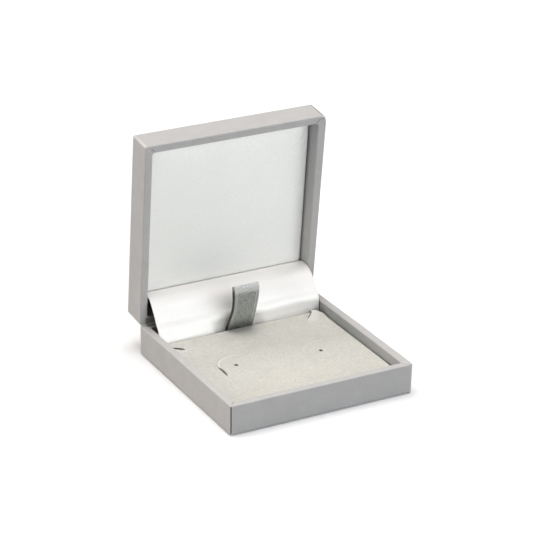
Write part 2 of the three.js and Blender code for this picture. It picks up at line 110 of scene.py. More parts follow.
# From a shell's own frame, closed face down at z 0, to its place in the open box
basePlace = Matrix.Translation((0, 0, box["sheet"]))
lidPlace = (
    Matrix.Translation((0, axisY, axisZ))
    @ Matrix.Rotation(-openTurn, 4, "X")
    @ Matrix.Translation((0, -axisY, closedTop - axisZ))
    @ Matrix.Rotation(math.pi, 4, "Y")
)


# The flocked insert and its cuts
insert = {
    "halfWidth": 41.05,
    "front": -41.05,
    "rear": 31.4,
    "top": 9.2,
    "velour": 0.5,
    "card": 1.0,
    "corner": 1.5,
    "cell": 0.6,
    "cardCell": 3.0,
    "posts": ((-19.9, -1.9), (21.0, -5.8)),
    "holeRadius": 0.75,
    "holeSides": 16,
    "cutRadius": 10.9,
    "cutCentre": (2.4, -1.0),
    "cutStart": 78,  # degrees
    "cutSteps": 28,
    "cutCorner": 5.5,
    "cornerSteps": 6,
    "cutDrop": 12.4,
    "cutEnd": 4.6,
    "cutWidth": 0.03,
    "cutMargin": 3,
    "cardWiden": 2.2,
    # from, to and width of the slit in each rear corner
    "slits": (((-37.6, 26.4), (-33.0, 22.6), 1.7), ((31.3, 25.0), (38.4, 32.4), 1.0)),
    "slitSides": 20,
    "edgeBump": (40.9, 26.9, 0.6),
    "bumpReach": 3.2,
    "ripple": 0.07,
    "ripplePitch": 0.09,
}
velourUnder = insert["top"] - insert["velour"]
cardUnder = velourUnder - insert["card"]

# The tongue inside each cut, measured from its post
tongue = {
    "root": 6.5,
    "lift": (0.3, 0.06),
    "gap": (0.95, 0.0),
    "across": (5.5, -9),
    "fromBelow": (-11.5, -4),
    "fromAbove": (11, 4),
    "gapTop": (2, -2),
    "gapLeft": (-4, -8),
    "gapFoot": (-9.5, -5.5),
}

# The rear right corner, bent up past its creases
tab = {
    "crease": ((31.2, 22.6), (39.5, 24.6)),
    "bend": (-0.4, 5.2),
    "edges": (((31.2, 23.5), (34.4, 21.4)), ((34.4, 21.4), (38.4, 25.4))),
    "edgeFade": (-0.2, 0.9),
    "lift": 1.3,
    "shift": 2.3,
    "shiftFade": (35, 40),
}

# The folded sides of the card
legs = {
    "width": 3,
    "corner": 6,
    "drop": 4.7,
    "ribbonX": -1.1,
    "ribbonWay": 9,
    "slack": 0.01,
}


# Small helpers


def shareOf(value, least, span):
    # how far a value is along a span, from 0 to 1
    return min(max((value - least) / span, 0), 1)


def smoothStep(low, high, value):
    share = shareOf(value, low, high - low)
    return share * share * (3 - 2 * share)


def partly(least, share):
    # from the least part up to all of it
    return least + (1 - least) * share


def openPoint(y, z):
    # where a point of the shut lid is when the lid stands open
    awayY = y - axisY
    awayZ = z - axisZ
    turnedY = awayY * math.cos(openTurn) + awayZ * math.sin(openTurn)
    turnedZ = awayZ * math.cos(openTurn) - awayY * math.sin(openTurn)
    return Vector((axisY + turnedY, axisZ + turnedZ))


def splinePoint(points, share):
    # a smooth line through points of y and z
    count = len(points) - 1
    place = min(max(share, 0), 1) * count
    index = min(int(place), count - 1)
    t = place - index
    a = points[max(index - 1, 0)]
    b = points[index]
    c = points[index + 1]
    d = points[min(index + 2, count)]
    return 0.5 * (
        2 * b + (c - a) * t + (2 * a - 5 * b + 4 * c - d) * t**2 + (3 * b - a - 3 * c + d) * t**3
    )


def evenLine(points, steps, fineSteps=400):
    # the same smooth line as steps + 1 points at even distances, and its length
    fine = [splinePoint(points, index / fineSteps) for index in range(fineSteps + 1)]
    runs = [0]
    for before, after in zip(fine, fine[1:]):
        runs.append(runs[-1] + (after - before).length)
    line = []
    index = 0
    for step in range(steps + 1):
        wanted = runs[-1] * step / steps
        while index < len(runs) - 2 and runs[index + 1] < wanted:
            index += 1
        part = (wanted - runs[index]) / max(runs[index + 1] - runs[index], 1e-9)
        line.append(fine[index].lerp(fine[index + 1], min(part, 1)))
    return line, runs[-1]


def smoothFaces(mesh, sharpAngle):
    mesh.shade_smooth()
    mesh.set_sharp_from_angle(angle=math.radians(sharpAngle))


def newPiece(bm, name, materials, place=Matrix.Identity(4), sharpAngle=40):
    bmesh.ops.transform(bm, matrix=Matrix.Scale(mm, 4) @ place, verts=bm.verts)
    mesh = bpy.data.meshes.new(name)
    bm.to_mesh(mesh)
    bm.free()
    for material in materials:
        mesh.materials.append(material)
    smoothFaces(mesh, sharpAngle)
    piece = bpy.data.objects.new(name, mesh)
    scene.collection.objects.link(piece)
    return piece


def setAll(target, values):
    for name, value in values.items():
        setattr(target, name, value)


def addModifier(piece, kind, **settings):
    setAll(piece.modifiers.new(kind.title(), kind), settings)


def thicken(piece, thickness, offset=0):
    addModifier(piece, "SOLIDIFY", thickness=thickness * mm, offset=offset)


def settle(piece):
    # the piece as its modifiers leave it, as a plain mesh
    graph = bpy.context.evaluated_depsgraph_get()
    made = bpy.data.meshes.new_from_object(piece.evaluated_get(graph))
    piece.modifiers.clear()
    piece.data = made


def setValues(piece, name, valueAt):
    # a number kept at each point of a piece, for its material to read
    kept = piece.data.attributes.new(name, "FLOAT", "POINT")
    for point, vert in zip(kept.data, piece.data.vertices):
        point.value = valueAt(*(vert.co / mm))


def vertsOf(parts):
    return [part for part in parts if isinstance(part, bmesh.types.BMVert)]


def edgesOf(parts):
    return [part for part in parts if isinstance(part, bmesh.types.BMEdge)]


def pull(bm, geom, along):
    # a line of edges drawn out into a strip, and the strip's far side
    made = bmesh.ops.extrude_edge_only(bm, edges=edgesOf(geom))["geom"]
    verts = vertsOf(made)
    bmesh.ops.translate(bm, vec=along, verts=verts)
    return verts + [edge for edge in edgesOf(made) if all(vert in verts for vert in edge.verts)]


def bevel(bm, geom, offset, steps, affect="EDGES"):
    bmesh.ops.bevel(bm, geom=geom, offset=offset, segments=steps, profile=0.5, affect=affect, material=-1)


def flatGrid(bm, columns, rows, half, middle):
    verts = bmesh.ops.create_grid(bm, x_segments=columns, y_segments=rows, size=1)["verts"]
    bmesh.ops.scale(bm, vec=(*half, 1), verts=verts)
    bmesh.ops.translate(bm, vec=middle, verts=verts)
    return verts


def clothGrid(cloth):
    # a square of rows and columns with the UV map that its material reads
    bm = bmesh.new()
    bm.loops.layers.uv.new("UVMap")
    columns, rows = cloth["columns"], cloth["rows"]
    bmesh.ops.create_grid(bm, x_segments=columns, y_segments=rows, size=1, calc_uvs=True)
    return bm


# Nodes of a material or of the world, with a short call for each kind of step
class Nodes:
    def __init__(self, tree):
        self.tree = tree

    def put(self, value, socket):
        if isinstance(value, bpy.types.NodeSocket):
            self.tree.links.new(value, socket)
        else:
            socket.default_value = value

    def add(self, kind, inputs=None, **settings):
        made = self.tree.nodes.new("ShaderNode" + kind)
        for name, value in settings.items():
            setattr(made, name, value)
        for name, value in (inputs or {}).items():
            self.put(value, made.inputs[name])
        return made

    def maths(self, operation, *values, clamp=False):
        made = self.add("Math", dict(enumerate(values)), operation=operation, use_clamp=clamp)
        return made.outputs[0]

    def times(self, first, second):
        return self.maths("MULTIPLY", first, second)

    def plus(self, first, second):
        return self.maths("ADD", first, second)

    def minus(self, first, second):
        return self.maths("SUBTRACT", first, second)

    def most(self, first, second):
        return self.maths("MAXIMUM", first, second)

    def size(self, value):
        return self.maths("ABSOLUTE", value)

    def wave(self, value, pitch):
        return self.maths("SINE", self.times(value, pitch))

    def vector(self, operation, *values):
        made = self.add("VectorMath", dict(enumerate(values)), operation=operation)
        return made.outputs["Value" if operation in ("DISTANCE", "LENGTH", "DOT_PRODUCT") else "Vector"]

    def flat(self, vector):
        return self.vector("MULTIPLY", vector, (1, 1, 0))

    def parts(self, vector):
        return self.add("SeparateXYZ", {"Vector": vector}).outputs[:]

    def join(self, x, y):
        return self.add("CombineXYZ", {"X": x, "Y": y}).outputs["Vector"]

    def fade(self, value, low, high, toLow=0.0, toHigh=1.0):
        inputs = {"Value": value, "From Min": low, "From Max": high, "To Min": toLow, "To Max": toHigh}
        return self.add("MapRange", inputs, interpolation_type="SMOOTHSTEP").outputs["Result"]

    def mix(self, factor, first, second, blend="MIX"):
        inputs = {0: factor, 6: first, 7: second}
        return self.add("Mix", inputs, data_type="RGBA", blend_type=blend).outputs[2]

    def layered(self, tint, palette, layers):
        # each layer is an amount and the name of the colour that it lays over the rest
        for amount, shade in layers:
            tint = self.mix(amount, tint, palette[shade])
        return tint

    def noise(self, place, scale, detail=2.0, roughness=0.5):
        inputs = {"Vector": place, "Scale": scale, "Detail": detail, "Roughness": roughness}
        return self.add("TexNoise", inputs).outputs["Fac"]

    def cells(self, place, scale, randomness, feature="F1"):
        inputs = {"Vector": place, "Scale": scale, "Randomness": randomness}
        return self.add("TexVoronoi", inputs, feature=feature).outputs["Distance"]

    def bump(self, height, depth, strength=1.0, normal=None):
        inputs = {"Height": height, "Distance": depth * mm, "Strength": strength}
        if normal is not None:
            inputs["Normal"] = normal
        return self.add("Bump", inputs).outputs["Normal"]

    def stretched(self, vector, scale):
        return self.add("Mapping", {"Vector": vector, "Scale": scale}).outputs["Vector"]

    def millimetres(self, place=Matrix.Identity(4)):
        # object coordinates in millimetres, turned back into the piece's own frame
        back = place.inverted()
        inputs = {
            "Vector": self.add("TexCoord").outputs["Object"],
            "Location": back.to_translation(),
            "Rotation": back.to_euler(),
            "Scale": (1 / mm, 1 / mm, 1 / mm),
        }
        return self.add("Mapping", inputs).outputs["Vector"]

    def cloth(self, width, length):
        # the piece's own UV map in millimetres, for cloth that bends
        return self.stretched(self.add("UVMap", uv_map="UVMap").outputs["UV"], (width, length, 1))

    def attribute(self, name):
        return self.add("Attribute", attribute_name=name).outputs["Fac"]


# One material and the shader that it ends in
class Look(Nodes):
    def __init__(self, name):
        self.material = bpy.data.materials.new(name)
        self.material.use_nodes = True
        super().__init__(self.material.node_tree)

    def finish(self, inputs):
        shader = self.tree.nodes["Principled BSDF"]
        for name, value in inputs.items():
            self.put(value, shader.inputs[name])
        return self.material


def colour(red, green, blue):
    # a colour as it shows on a screen, 0 to 255, in the light units that a shader takes
    def linear(value):
        share = value / 255
        return share / 12.92 if share <= 0.04045 else ((share + 0.055) / 1.055) ** 2.4

    return (linear(red), linear(green), linear(blue), 1)


# Leatherette paper: fine grain, faint cloudiness, rubbed corners and the creases of its mitred folds, with
# painted shade on the inner walls, behind the flap and along the rear rims by the hinge
leatherette = {
    "paper": colour(205, 202, 200),
    "cloud": colour(199, 196, 194),
    "grainShade": colour(184, 182, 180),
    "pale": colour(238, 229, 223),
    # also the colour of the painted shade behind the flap and along the rear rims by the hinge
    "crease": colour(112, 107, 99),
    # painted shade on the inner walls
    "lining": colour(176, 177, 178),
    "grainSize": 0.42,  # millimetres between grains
    "grainDepth": 0.03,
    "markHalf": {"creases": 0.24, "folds": 0.6},
    "uprightWidth": (0.5, 1.25),
    "rubReach": (6.0, 14.0),
    "rimBand": (0.9, 0.3),  # below the rim, where its marks begin and where they are full
    "floorBand": (0.9, 1.7),
    "seamHalf": (0.75, 1.1),
    "seamEnd": (1.2, 0.5),
    # how dark the painted shade behind the flap and by the hinge is
    "paintedHingeShadeAmount": 0.85,
}
baseFinish = {
    "rubbedCorner": (45, -45, 13.8),
    "rubbing": 0.25,
    "lining": (1.0, 1.0),  # how strong the painted shade on the inner walls is, at the front and at the hinge
    # x of the seam at the back and at the rim, its y, and how dark its line is
    "seamCorner": (45.0, 45.0, 45.0, 0.2),
    # from, to and strength of each crease on the rim, seen from above
    "creases": (
        ((-41.5, -41.5), (-43.5, -43.3), 0.85),
        ((41.6, -41.6), (44.8, -44.9), 0.65),
        ((41.6, 41.5), (44.5, 44.5), 0.4),
        ((-41.6, 41.5), (-44.5, 44.5), 0.4),
    ),
    "folds": (((42.3, -41.2), (45.0, -43.9), 0.35),),
}
lidFinish = {
    "rubbedCorner": (45, -45, 12.6),
    "rubbing": 0.75,
    "lining": (1.0, 0.0),
    "seamCorner": (-45.2, -44.95, -45.0, 0.9),
    "creases": (
        ((-40.7, -42.0), (-43.6, -44.5), 0.95),
        ((-43.3, -43.0), (-44.5, -44.0), 0.7),
        ((40.6, -42.3), (42.0, -43.4), 1.0),
        ((41.4, -41.6), (44.6, -44.7), 0.3),
        ((41.5, 41.5), (44.5, 44.5), 0.4),
        ((-41.5, 41.5), (-44.5, 44.5), 0.4),
    ),
    "folds": (((-43.0, -44.2), (-44.0, -44.7), 1.0), ((41.9, -41.6), (44.2, -44.2), 0.45)),
}


def lineMark(look, flat, start, end, half):
    # 1 on a straight line between two points and 0 away from it
    along = Vector((end[0] - start[0], end[1] - start[1], 0))
    away = look.vector("SUBTRACT", flat, (start[0], start[1], 0))
    share = look.vector("DOT_PRODUCT", away, along / along.length_squared)
    share = look.maths("ADD", share, 0.0, clamp=True)
    nearest = look.add("VectorMath", {0: along, "Scale": share}, operation="SCALE").outputs[0]
    return look.fade(look.vector("DISTANCE", away, nearest), half * 0.2, half, 1.0, 0.0)


def rimMarks(look, spot, onRim, finish):
    # the thin creases and the wider folds across the rim, a little wavy
    wave = look.add("TexNoise", {"Vector": spot, "Scale": 0.9, "Detail": 2.0}).outputs["Color"]
    wave = look.vector("MULTIPLY_ADD", wave, (0.5, 0.5, 0.5), spot)
    flat = look.vector("MULTIPLY_ADD", wave, (1, 1, 0), (-0.25, -0.25, 0))
    marks = []
    for kind in ("creases", "folds"):
        drawn = 0.0
        for start, end, strength in finish[kind]:
            mark = lineMark(look, flat, start, end, leatherette["markHalf"][kind])
            drawn = look.most(look.times(mark, strength), drawn)
        marks.append(look.times(drawn, onRim))
    return marks


def rubbedPale(look, spot, across, along, finish):
    # each upright corner a little, and one of them more
    patches = look.noise(spot, 0.5, 4.0, 0.65)
    toEdge = look.join(look.minus(across, box["halfWidth"]), look.minus(along, box["halfDepth"]))
    upright = look.fade(look.vector("LENGTH", toEdge), *leatherette["uprightWidth"], 1.0, 0.0)
    away = look.vector("DISTANCE", spot, finish["rubbedCorner"])
    rubbed = look.times(upright, look.fade(away, *leatherette["rubReach"], finish["rubbing"], 0.15))
    return look.times(rubbed, look.fade(patches, 0.35, 0.6, 0.45, 1.0))


def cornerSeam(look, spot, z, height, finish):
    # the line where the paper's folds meet at one upright corner
    backX, rimX, seamY, dark = finish["seamCorner"]
    place = look.join(look.fade(z, 0.0, height, backX, rimX), seamY)
    away = look.vector("DISTANCE", look.flat(spot), place)
    seam = look.fade(away, *leatherette["seamHalf"], dark, 0.0)
    start, end = (height - drop for drop in leatherette["seamEnd"])
    return look.times(seam, look.fade(z, start, end, 1.0, 0.0))


def leatheretteMaterial(name, place, height, finish):
    look = Look(name)
    spot = look.millimetres(place)
    x, y, z = look.parts(spot)
    across = look.size(x)
    along = look.size(y)
    grain = look.cells(spot, 1 / leatherette["grainSize"], 0.9, "SMOOTH_F1")
    fine = look.noise(spot, 5.5, 3.0, 0.6)
    clouds = look.noise(spot, 0.11, 3.0, 0.55)
    rimBand = [height - drop for drop in leatherette["rimBand"]]
    onRim = look.fade(z, *rimBand)
    crease, fold = rimMarks(look, spot, onRim, finish)
    rubbed = look.most(rubbedPale(look, spot, across, along, finish), fold)

    # painted shade: darker on the inner walls, and more so where the flap and the hinge hide them
    inPocket = look.times(
        look.fade(across, pocketX + 0.2, pocketX + 0.7, 1.0, 0.0),
        look.fade(along, pocketY + 0.2, pocketY + 0.7, 1.0, 0.0),
    )
    below = look.times(look.fade(z, *rimBand, 1.0, 0.0), look.fade(z, *leatherette["floorBand"]))
    inside = look.times(inPocket, below)
    paintedInnerShade = look.times(look.fade(y, -pocketY, pocketY * 0.8, *finish["lining"]), inside)
    # painted shade where the flap hides the inner walls
    hidden = look.times(look.fade(y, pocketY - 8.5, pocketY - 2.5), inside)
    # painted shade along the rear rim by the hinge
    paintedRearRimShade = look.times(
        look.fade(y, pocketY - 0.3, pocketY + 0.6),
        look.fade(across, pocketX + 0.3, pocketX + 1.5, 1.0, 0.0),
    )
    paintedHingeShade = look.most(hidden, look.times(paintedRearRimShade, onRim))
    seam = cornerSeam(look, spot, z, height, finish)

    tint = look.mix(look.fade(clouds, 0.3, 0.7), leatherette["cloud"], leatherette["paper"])
    tint = look.layered(tint, leatherette, (
        (look.fade(grain, 0.15, 0.75, 0.0, 0.35), "grainShade"),
        # painted shade on the inner walls
        (paintedInnerShade, "lining"),
        (rubbed, "pale"),
        (crease, "crease"),
        # the corner seam's dark line, and painted shade behind the flap and by the hinge
        (look.most(seam, look.times(paintedHingeShade, leatherette["paintedHingeShadeAmount"])), "crease"),
    ))
    relief = look.minus(look.times(fine, 0.35), grain)
    grainNormal = look.bump(relief, leatherette["grainDepth"], 0.8)
    return look.finish({
        "Base Color": tint,
        "Roughness": look.fade(fine, 0.2, 0.8, 0.52, 0.66),
        "Specular IOR Level": 0.35,
        "Normal": look.bump(look.times(crease, -1.0), 0.1, 1.0, grainNormal),
    })


# Board and plain paper: the walls' core, the open seam's edge, the underside and the card
def boardMaterial(name, light, dark, speckle):
    look = Look(name)
    spot = look.millimetres()
    pulp = look.noise(spot, speckle, 5.0, 0.7)
    fibres = look.noise(look.stretched(spot, (0.6, 4.0, 4.0)), 1.2, 4.0, 0.7)
    mixed = look.maths("MULTIPLY_ADD", fibres, 0.5, pulp)
    return look.finish({
        "Base Color": look.mix(look.fade(mixed, 0.45, 1.0), dark, light),
        "Roughness": look.fade(pulp, 0.2, 0.8, 0.78, 0.95),
        "Normal": look.bump(mixed, 0.04, 0.7),
    })


# Flocked velour: short dense fibres that lie in soft patches, with painted highlight along the lifted side
# of the cuts and on the bent up tab, and painted shade outside the cuts, around the pin holes and down the
# cut walls, and painted light towards the rear
velourLook = {
    "light": colour(223, 220, 211),
    "dark": colour(204, 201, 193),
    # the soft patches' and streaks' darker tone, also used for painted shade just outside the cuts
    "patchAndShade": colour(201, 198, 189),
    # painted shade down the cut walls and the sheet's edges
    "paintedDeepShade": colour(84, 80, 72),
    # painted highlight along the lifted side of the cuts and on the bent up tab
    "paintedLipLight": colour(242, 240, 233),
    # painted shade around the pin holes
    "paintedHoleShade": colour(120, 117, 108),
    # painted light, lighter towards the rear
    "paintedRearLight": (1.18, 1.18, 1.17, 1),
    "rearFade": (6.0, 28.0),
    "lipStrength": (1.0, 0.5),  # at the left and the right cut
    "lipUpper": (-1.5, 2.5),
    "lipLeft": (1.0, 4.5),
    "lipInside": 0.45,
    "shadeOutside": 0.5,
    "holeShadeWidth": 0.7,
}


def cutLip(look, spot, post):
    # how near a point is to the painted highlight inside the C-shaped cut, on its lifted side, and to the
    # painted shade outside it
    centre = (post[0] + insert["cutCentre"][0], post[1] + insert["cutCentre"][1], 0)
    toCentre = look.vector("SUBTRACT", look.flat(spot), centre)
    off = look.minus(look.vector("LENGTH", toCentre), insert["cutRadius"])
    x, y = look.parts(toCentre)[:2]
    part = look.times(
        look.fade(y, *velourLook["lipUpper"]), look.fade(x, *velourLook["lipLeft"], 1.0, 0.0)
    )
    inner = look.fade(look.size(look.plus(off, velourLook["lipInside"])), 0.1, 0.8, 1.0, 0.0)
    outer = look.fade(look.size(look.minus(off, velourLook["shadeOutside"])), 0.1, 0.9, 1.0, 0.0)
    return look.times(inner, part), look.times(outer, part)


def velourMaterial():
    look = Look("flockedVelour")
    spot = look.millimetres()
    fibres = look.noise(spot, 4.0, 3.0, 0.75)
    speckle = look.noise(spot, 1.15, 4.0, 0.72)
    patches = look.noise(spot, 0.13, 4.0, 0.6)
    streaks = look.noise(look.stretched(spot, (0.35, 0.9, 1)), 0.35, 4.0, 0.7)
    mixed = look.plus(look.times(speckle, 0.7), look.times(fibres, 0.3))
    tint = look.mix(look.fade(mixed, 0.38, 0.6), velourLook["dark"], velourLook["light"])
    layers = [
        (look.fade(patches, 0.42, 0.68, 0.0, 0.35), "patchAndShade"),
        (look.fade(streaks, 0.58, 0.75, 0.0, 0.3), "patchAndShade"),
    ]
    radius = insert["holeRadius"]
    for post, strength in zip(insert["posts"], velourLook["lipStrength"]):
        paintedLipLight, shade = cutLip(look, spot, post)
        fromHole = look.vector("DISTANCE", look.flat(spot), (*post, 0))
        layers += [
            # painted shade just outside the cut
            (look.times(shade, 0.4 * strength), "patchAndShade"),
            # painted highlight just inside the cut
            (look.times(paintedLipLight, 0.6 * strength), "paintedLipLight"),
            # painted shade around the pin hole
            (look.fade(fromHole, radius, radius + velourLook["holeShadeWidth"], 0.6, 0.0), "paintedHoleShade"),
        ]
    tint = look.layered(tint, velourLook, layers)
    # painted light, lighter towards the rear
    rear = look.fade(look.parts(spot)[1], *velourLook["rearFade"])
    tint = look.mix(rear, tint, velourLook["paintedRearLight"], "MULTIPLY")
    tint = look.layered(tint, velourLook, (
        # painted highlight on the bent up tab
        (look.times(look.attribute("paintedTabLight"), 0.85), "paintedLipLight"),
        # painted shade down the cut walls
        (look.fade(look.attribute("depth"), 0.1, 0.6), "paintedDeepShade"),
    ))
    return look.finish({
        "Base Color": tint,
        "Roughness": 0.95,
        "Specular IOR Level": 0.15,
        "Sheen Weight": 0.2,
        "Sheen Roughness": 0.5,
        "Normal": look.bump(speckle, 0.1, 0.6, look.bump(fibres, 0.07, 0.8)),
    })


# Satin: fine floats along one way, with a soft shine
satinLook = {
    "pad": {"tint": colour(248, 248, 245), "shade": colour(239, 239, 236), "gloss": 0.55, "metal": 0.48},
    "flap": {"tint": colour(255, 250, 246), "shade": colour(248, 244, 241), "gloss": 0.5, "metal": 0.42},
    # painted shade: below the bow, from 14 to 19 mm along it, the flap is a little darker
    "flapPaintedShade": (14, 19, (0.93, 0.94, 0.94, 1)),
}


def satinMaterial(look, vector, satin, paintedShade=None):
    x, y = look.parts(vector)[:2]
    crossed = look.times(look.wave(x, math.pi / 0.3), look.wave(y, math.pi / 0.75))
    threads = look.maths("MULTIPLY_ADD", crossed, 0.5, 0.5)
    twill = look.noise(look.stretched(vector, (2.2, 0.8, 1)), 1.0, 3.0, 0.8)
    mottle = look.noise(vector, 1.1, 4.0, 0.7)
    clouds = look.noise(vector, 0.05, 2.0, 0.5)
    fine = look.plus(look.times(twill, 0.5), look.times(mottle, 0.5))
    tint = look.mix(look.fade(fine, 0.36, 0.64), satin["shade"], satin["tint"])
    tint = look.layered(tint, satin, (
        (look.fade(clouds, 0.35, 0.65, 0.0, 0.25), "shade"),
        (look.fade(threads, 0.0, 0.5, 0.12, 0.0), "shade"),
    ))
    # painted shade below the bow
    if paintedShade:
        tint = look.mix(look.fade(y, *paintedShade[:2]), tint, paintedShade[2], "MULTIPLY")
    return look.finish({
        "Base Color": tint,
        "Roughness": look.fade(fine, 0.2, 0.8, satin["gloss"], satin["gloss"] + 0.1),
        "Metallic": satin["metal"],
        "Specular IOR Level": 0.6,
        "Normal": look.bump(fine, 0.03, 0.5, look.bump(threads, 0.012, 0.5)),
    })


def padSatin():
    look = Look("padSatin")
    return satinMaterial(look, look.millimetres(lidPlace), satinLook["pad"])


def flapSatin(width, length):
    look = Look("flapSatin")
    return satinMaterial(look, look.cloth(width, length), satinLook["flap"], satinLook["flapPaintedShade"])


# Grosgrain ribbon: long warp threads over fine ribs, and thicker woven selvedges, with a painted highlight
# on the fold and painted shade along its edges, on the back ply and at the foot
ribbonLook = {
    "light": colour(194, 196, 190),
    "dark": colour(98, 100, 94),
    "edge": colour(196, 198, 194),
    # painted shade along the edges
    "gap": colour(84, 86, 82),
    # painted highlight on the fold
    "fold": colour(232, 232, 229),
    # painted shade at the foot and on the back ply
    "foot": colour(38, 39, 36),
    "threadPitch": 0.52,
    "ribPitch": 0.5,
    "selvedge": 1.45,
    "selvedgeFade": 0.3,
    # how far in from the edge the painted shade along the edges begins and is full
    "edgeShadeBand": (0.32, 0.08),
    "foldFrom": (0.83, 0.92),
    # where along the ribbon the painted shade on the back ply begins and is full
    "paintedBackPlyShade": (0.53, 0.56),
}


def ribbonMaterial(width, length):
    look = Look("grosgrain")
    vector = look.cloth(width, length)
    u, v = look.parts(vector)[:2]
    rise = look.attribute("rise")
    ribs = look.wave(v, 2 * math.pi / ribbonLook["ribPitch"])
    drift = look.times(look.noise(look.stretched(vector, (0.8, 0.25, 1)), 1.0), 0.5)
    threads = look.wave(look.plus(u, drift), 2 * math.pi / ribbonLook["threadPitch"])
    warp = look.noise(look.stretched(vector, (1.25, 0.3, 1)), 1.0, 4.0, 0.75)
    speckle = look.noise(vector, 1.3, 3.0, 0.8)
    half = width / 2
    inner = half - ribbonLook["selvedge"]
    edgeShadeBand = [half - away for away in ribbonLook["edgeShadeBand"]]
    fromMiddle = look.size(look.minus(u, half))
    border = look.fade(look.size(look.minus(fromMiddle, inner)), 0.12, 0.4, 1, 0)
    body = look.plus(look.times(warp, 0.75), look.times(threads, 0.2))
    body = look.plus(body, look.times(speckle, 0.6))

    # painted highlight where it is folded over, painted shade nearly black where it goes down behind the
    # card
    ragged = look.plus(rise, look.times(look.minus(speckle, 0.5), 0.12))
    paintedFoldHighlight = look.fade(ragged, *ribbonLook["foldFrom"])
    paintedFoldHighlight = look.times(paintedFoldHighlight, look.fade(speckle, 0.38, 0.62, 0.45, 1.0))
    paintedDeepShade = look.fade(look.plus(rise, look.times(warp, -0.25)), -0.12, 0.2, 1.0, 0.0)
    paintedDeepShade = look.times(paintedDeepShade, look.fade(warp, 0.4, 0.62, 1.0, 0.6))
    # painted shade on the back ply
    paintedBackPlyShade = look.fade(v, *(length * share for share in ribbonLook["paintedBackPlyShade"]), 0.0, 0.5)
    tint = look.mix(look.fade(body, 0.52, 0.83), ribbonLook["dark"], ribbonLook["light"])
    tint = look.layered(tint, ribbonLook, (
        (look.times(look.fade(fromMiddle, inner - ribbonLook["selvedgeFade"], inner), 0.3), "edge"),
        (look.times(border, 0.6), "edge"),
        # painted shade along the edges
        (look.times(look.fade(fromMiddle, *edgeShadeBand), 0.75), "gap"),
        # painted highlight on the fold
        (paintedFoldHighlight, "fold"),
        # painted shade at the foot and on the back ply
        (look.most(paintedDeepShade, paintedBackPlyShade), "foot"),
    ))
    relief = look.plus(look.times(threads, 0.5), look.times(ribs, 0.3))
    return look.finish({
        "Base Color": tint,
        "Roughness": 0.6,
        "Sheen Weight": 0.2,
        "Normal": look.bump(warp, 0.08, 0.7, look.bump(relief, 0.05, 0.7)),
    })


# Steel: brushed along x, with faint stains
def steelMaterial():
    look = Look("brushedSteel")
    spot = look.millimetres()
    brush = look.noise(look.stretched(spot, (0.25, 9.0, 9.0)), 1.4, 4.0, 0.7)
    stains = look.fade(look.noise(spot, 0.35, 4.0, 0.6), 0.3, 0.75)
    return look.finish({
        "Base Color": look.mix(stains, colour(196, 197, 198), colour(168, 166, 162)),
        "Metallic": 1,
        "Anisotropic": 0.4,
        "Roughness": look.fade(brush, 0.2, 0.8, 0.22, 0.4),
        "Normal": look.bump(brush, 0.01, 0.5),
    })


# Foam: open cells
def foamMaterial():
    look = Look("foam")
    cells = look.cells(look.millimetres(lidPlace), 2.2, 1.0)
    return look.finish({
        "Base Color": look.mix(look.fade(cells, 0.1, 0.6), colour(216, 211, 196), colour(242, 239, 230)),
        "Roughness": 0.95,
        "Normal": look.bump(cells, 0.15, 0.8),
    })


baseLeatherette = leatheretteMaterial(
    "baseLeatherette", basePlace, box["baseHeight"] - box["sheet"], baseFinish
)
lidLeatherette = leatheretteMaterial("lidLeatherette", lidPlace, box["lidHeight"], lidFinish)
greyBoard = boardMaterial("greyBoard", colour(168, 162, 152), colour(142, 136, 126), 1.6)
seamPaper = boardMaterial("seamPaper", colour(104, 96, 88), colour(80, 73, 66), 2.5)
undersidePaper = boardMaterial("undersidePaper", colour(150, 147, 144), colour(134, 131, 128), 2.2)
creamCard = boardMaterial("creamCard", colour(226, 220, 206), colour(208, 202, 188), 1.9)
steel = steelMaterial()
foam = foamMaterial()
velour = velourMaterial()
print("materials made")


# The wrapping paper of the two shells
wrapPaper = {
    "thickness": 0.5,
    "outerCorner": 0.9,
    "innerCorner": 1.3,
    "edge": 0.5,
    "hingeEdge": 0.28,  # the rear rims are creased tighter, so no light passes between the shells
    "cornerSteps": 5,
    "edgeSteps": 4,
    "turnIn": 12,
    "notchHalf": 30.3,
    "notchDrop": 1.1,
    "notchShoulder": 0.7,
    "notchSteps": 4,
    "notchMargin": 0.1,
    "seamWay": {"base": (-1, -1), "lid": (-0.35, -0.94)},  # the way the open seam faces
    "seamFacing": {"base": 0.93, "lid": 0.975},  # nearer 1 is narrower
    "seamTall": 5,  # edges longer than this run up the corner
    "seamCuts": 13,
    "seamDepth": 0.3,
    "seamLip": {"base": 0.07, "lid": 0.03},
    "seamWobble": 0.14,
    "wobblePitch": 0.9,
    # how far the right wall leans out: all along, and more towards the front corner
    "lean": {"base": (0.4, 0.35), "lid": (0.3, 0.55)},
    "leanReach": {"base": 30, "lid": 62},
    "leanFoot": 0.4,  # the share of the lean that is there at the foot
    "leanInner": (0.6, 0.4),  # the shares of both leans that the inner face takes
    "leanFull": 6,
    "wallBand": (6, 0.5),
    "outerBand": 0.6,
    "rearBand": (-0.1, 8),
    "cornerEase": {"base": 0.2, "lid": 0.9},  # how far its front corner is pressed back in
    "easeReach": (1.7, 3.2),
}


def roundedFace(bm, halfX, halfY, radius, z):
    before = set(bm.faces)
    corners = flatGrid(bm, 1, 1, (halfX, halfY), (0, 0, z))
    bevel(bm, corners, radius, wrapPaper["cornerSteps"], "VERTICES")
    return next(face for face in bm.faces if face not in before)


def openFaces(bm, faces):
    # the rims of the faces, with the faces gone
    rims = [list(face.edges) for face in faces]
    bmesh.ops.delete(bm, geom=faces, context="FACES_ONLY")
    return rims


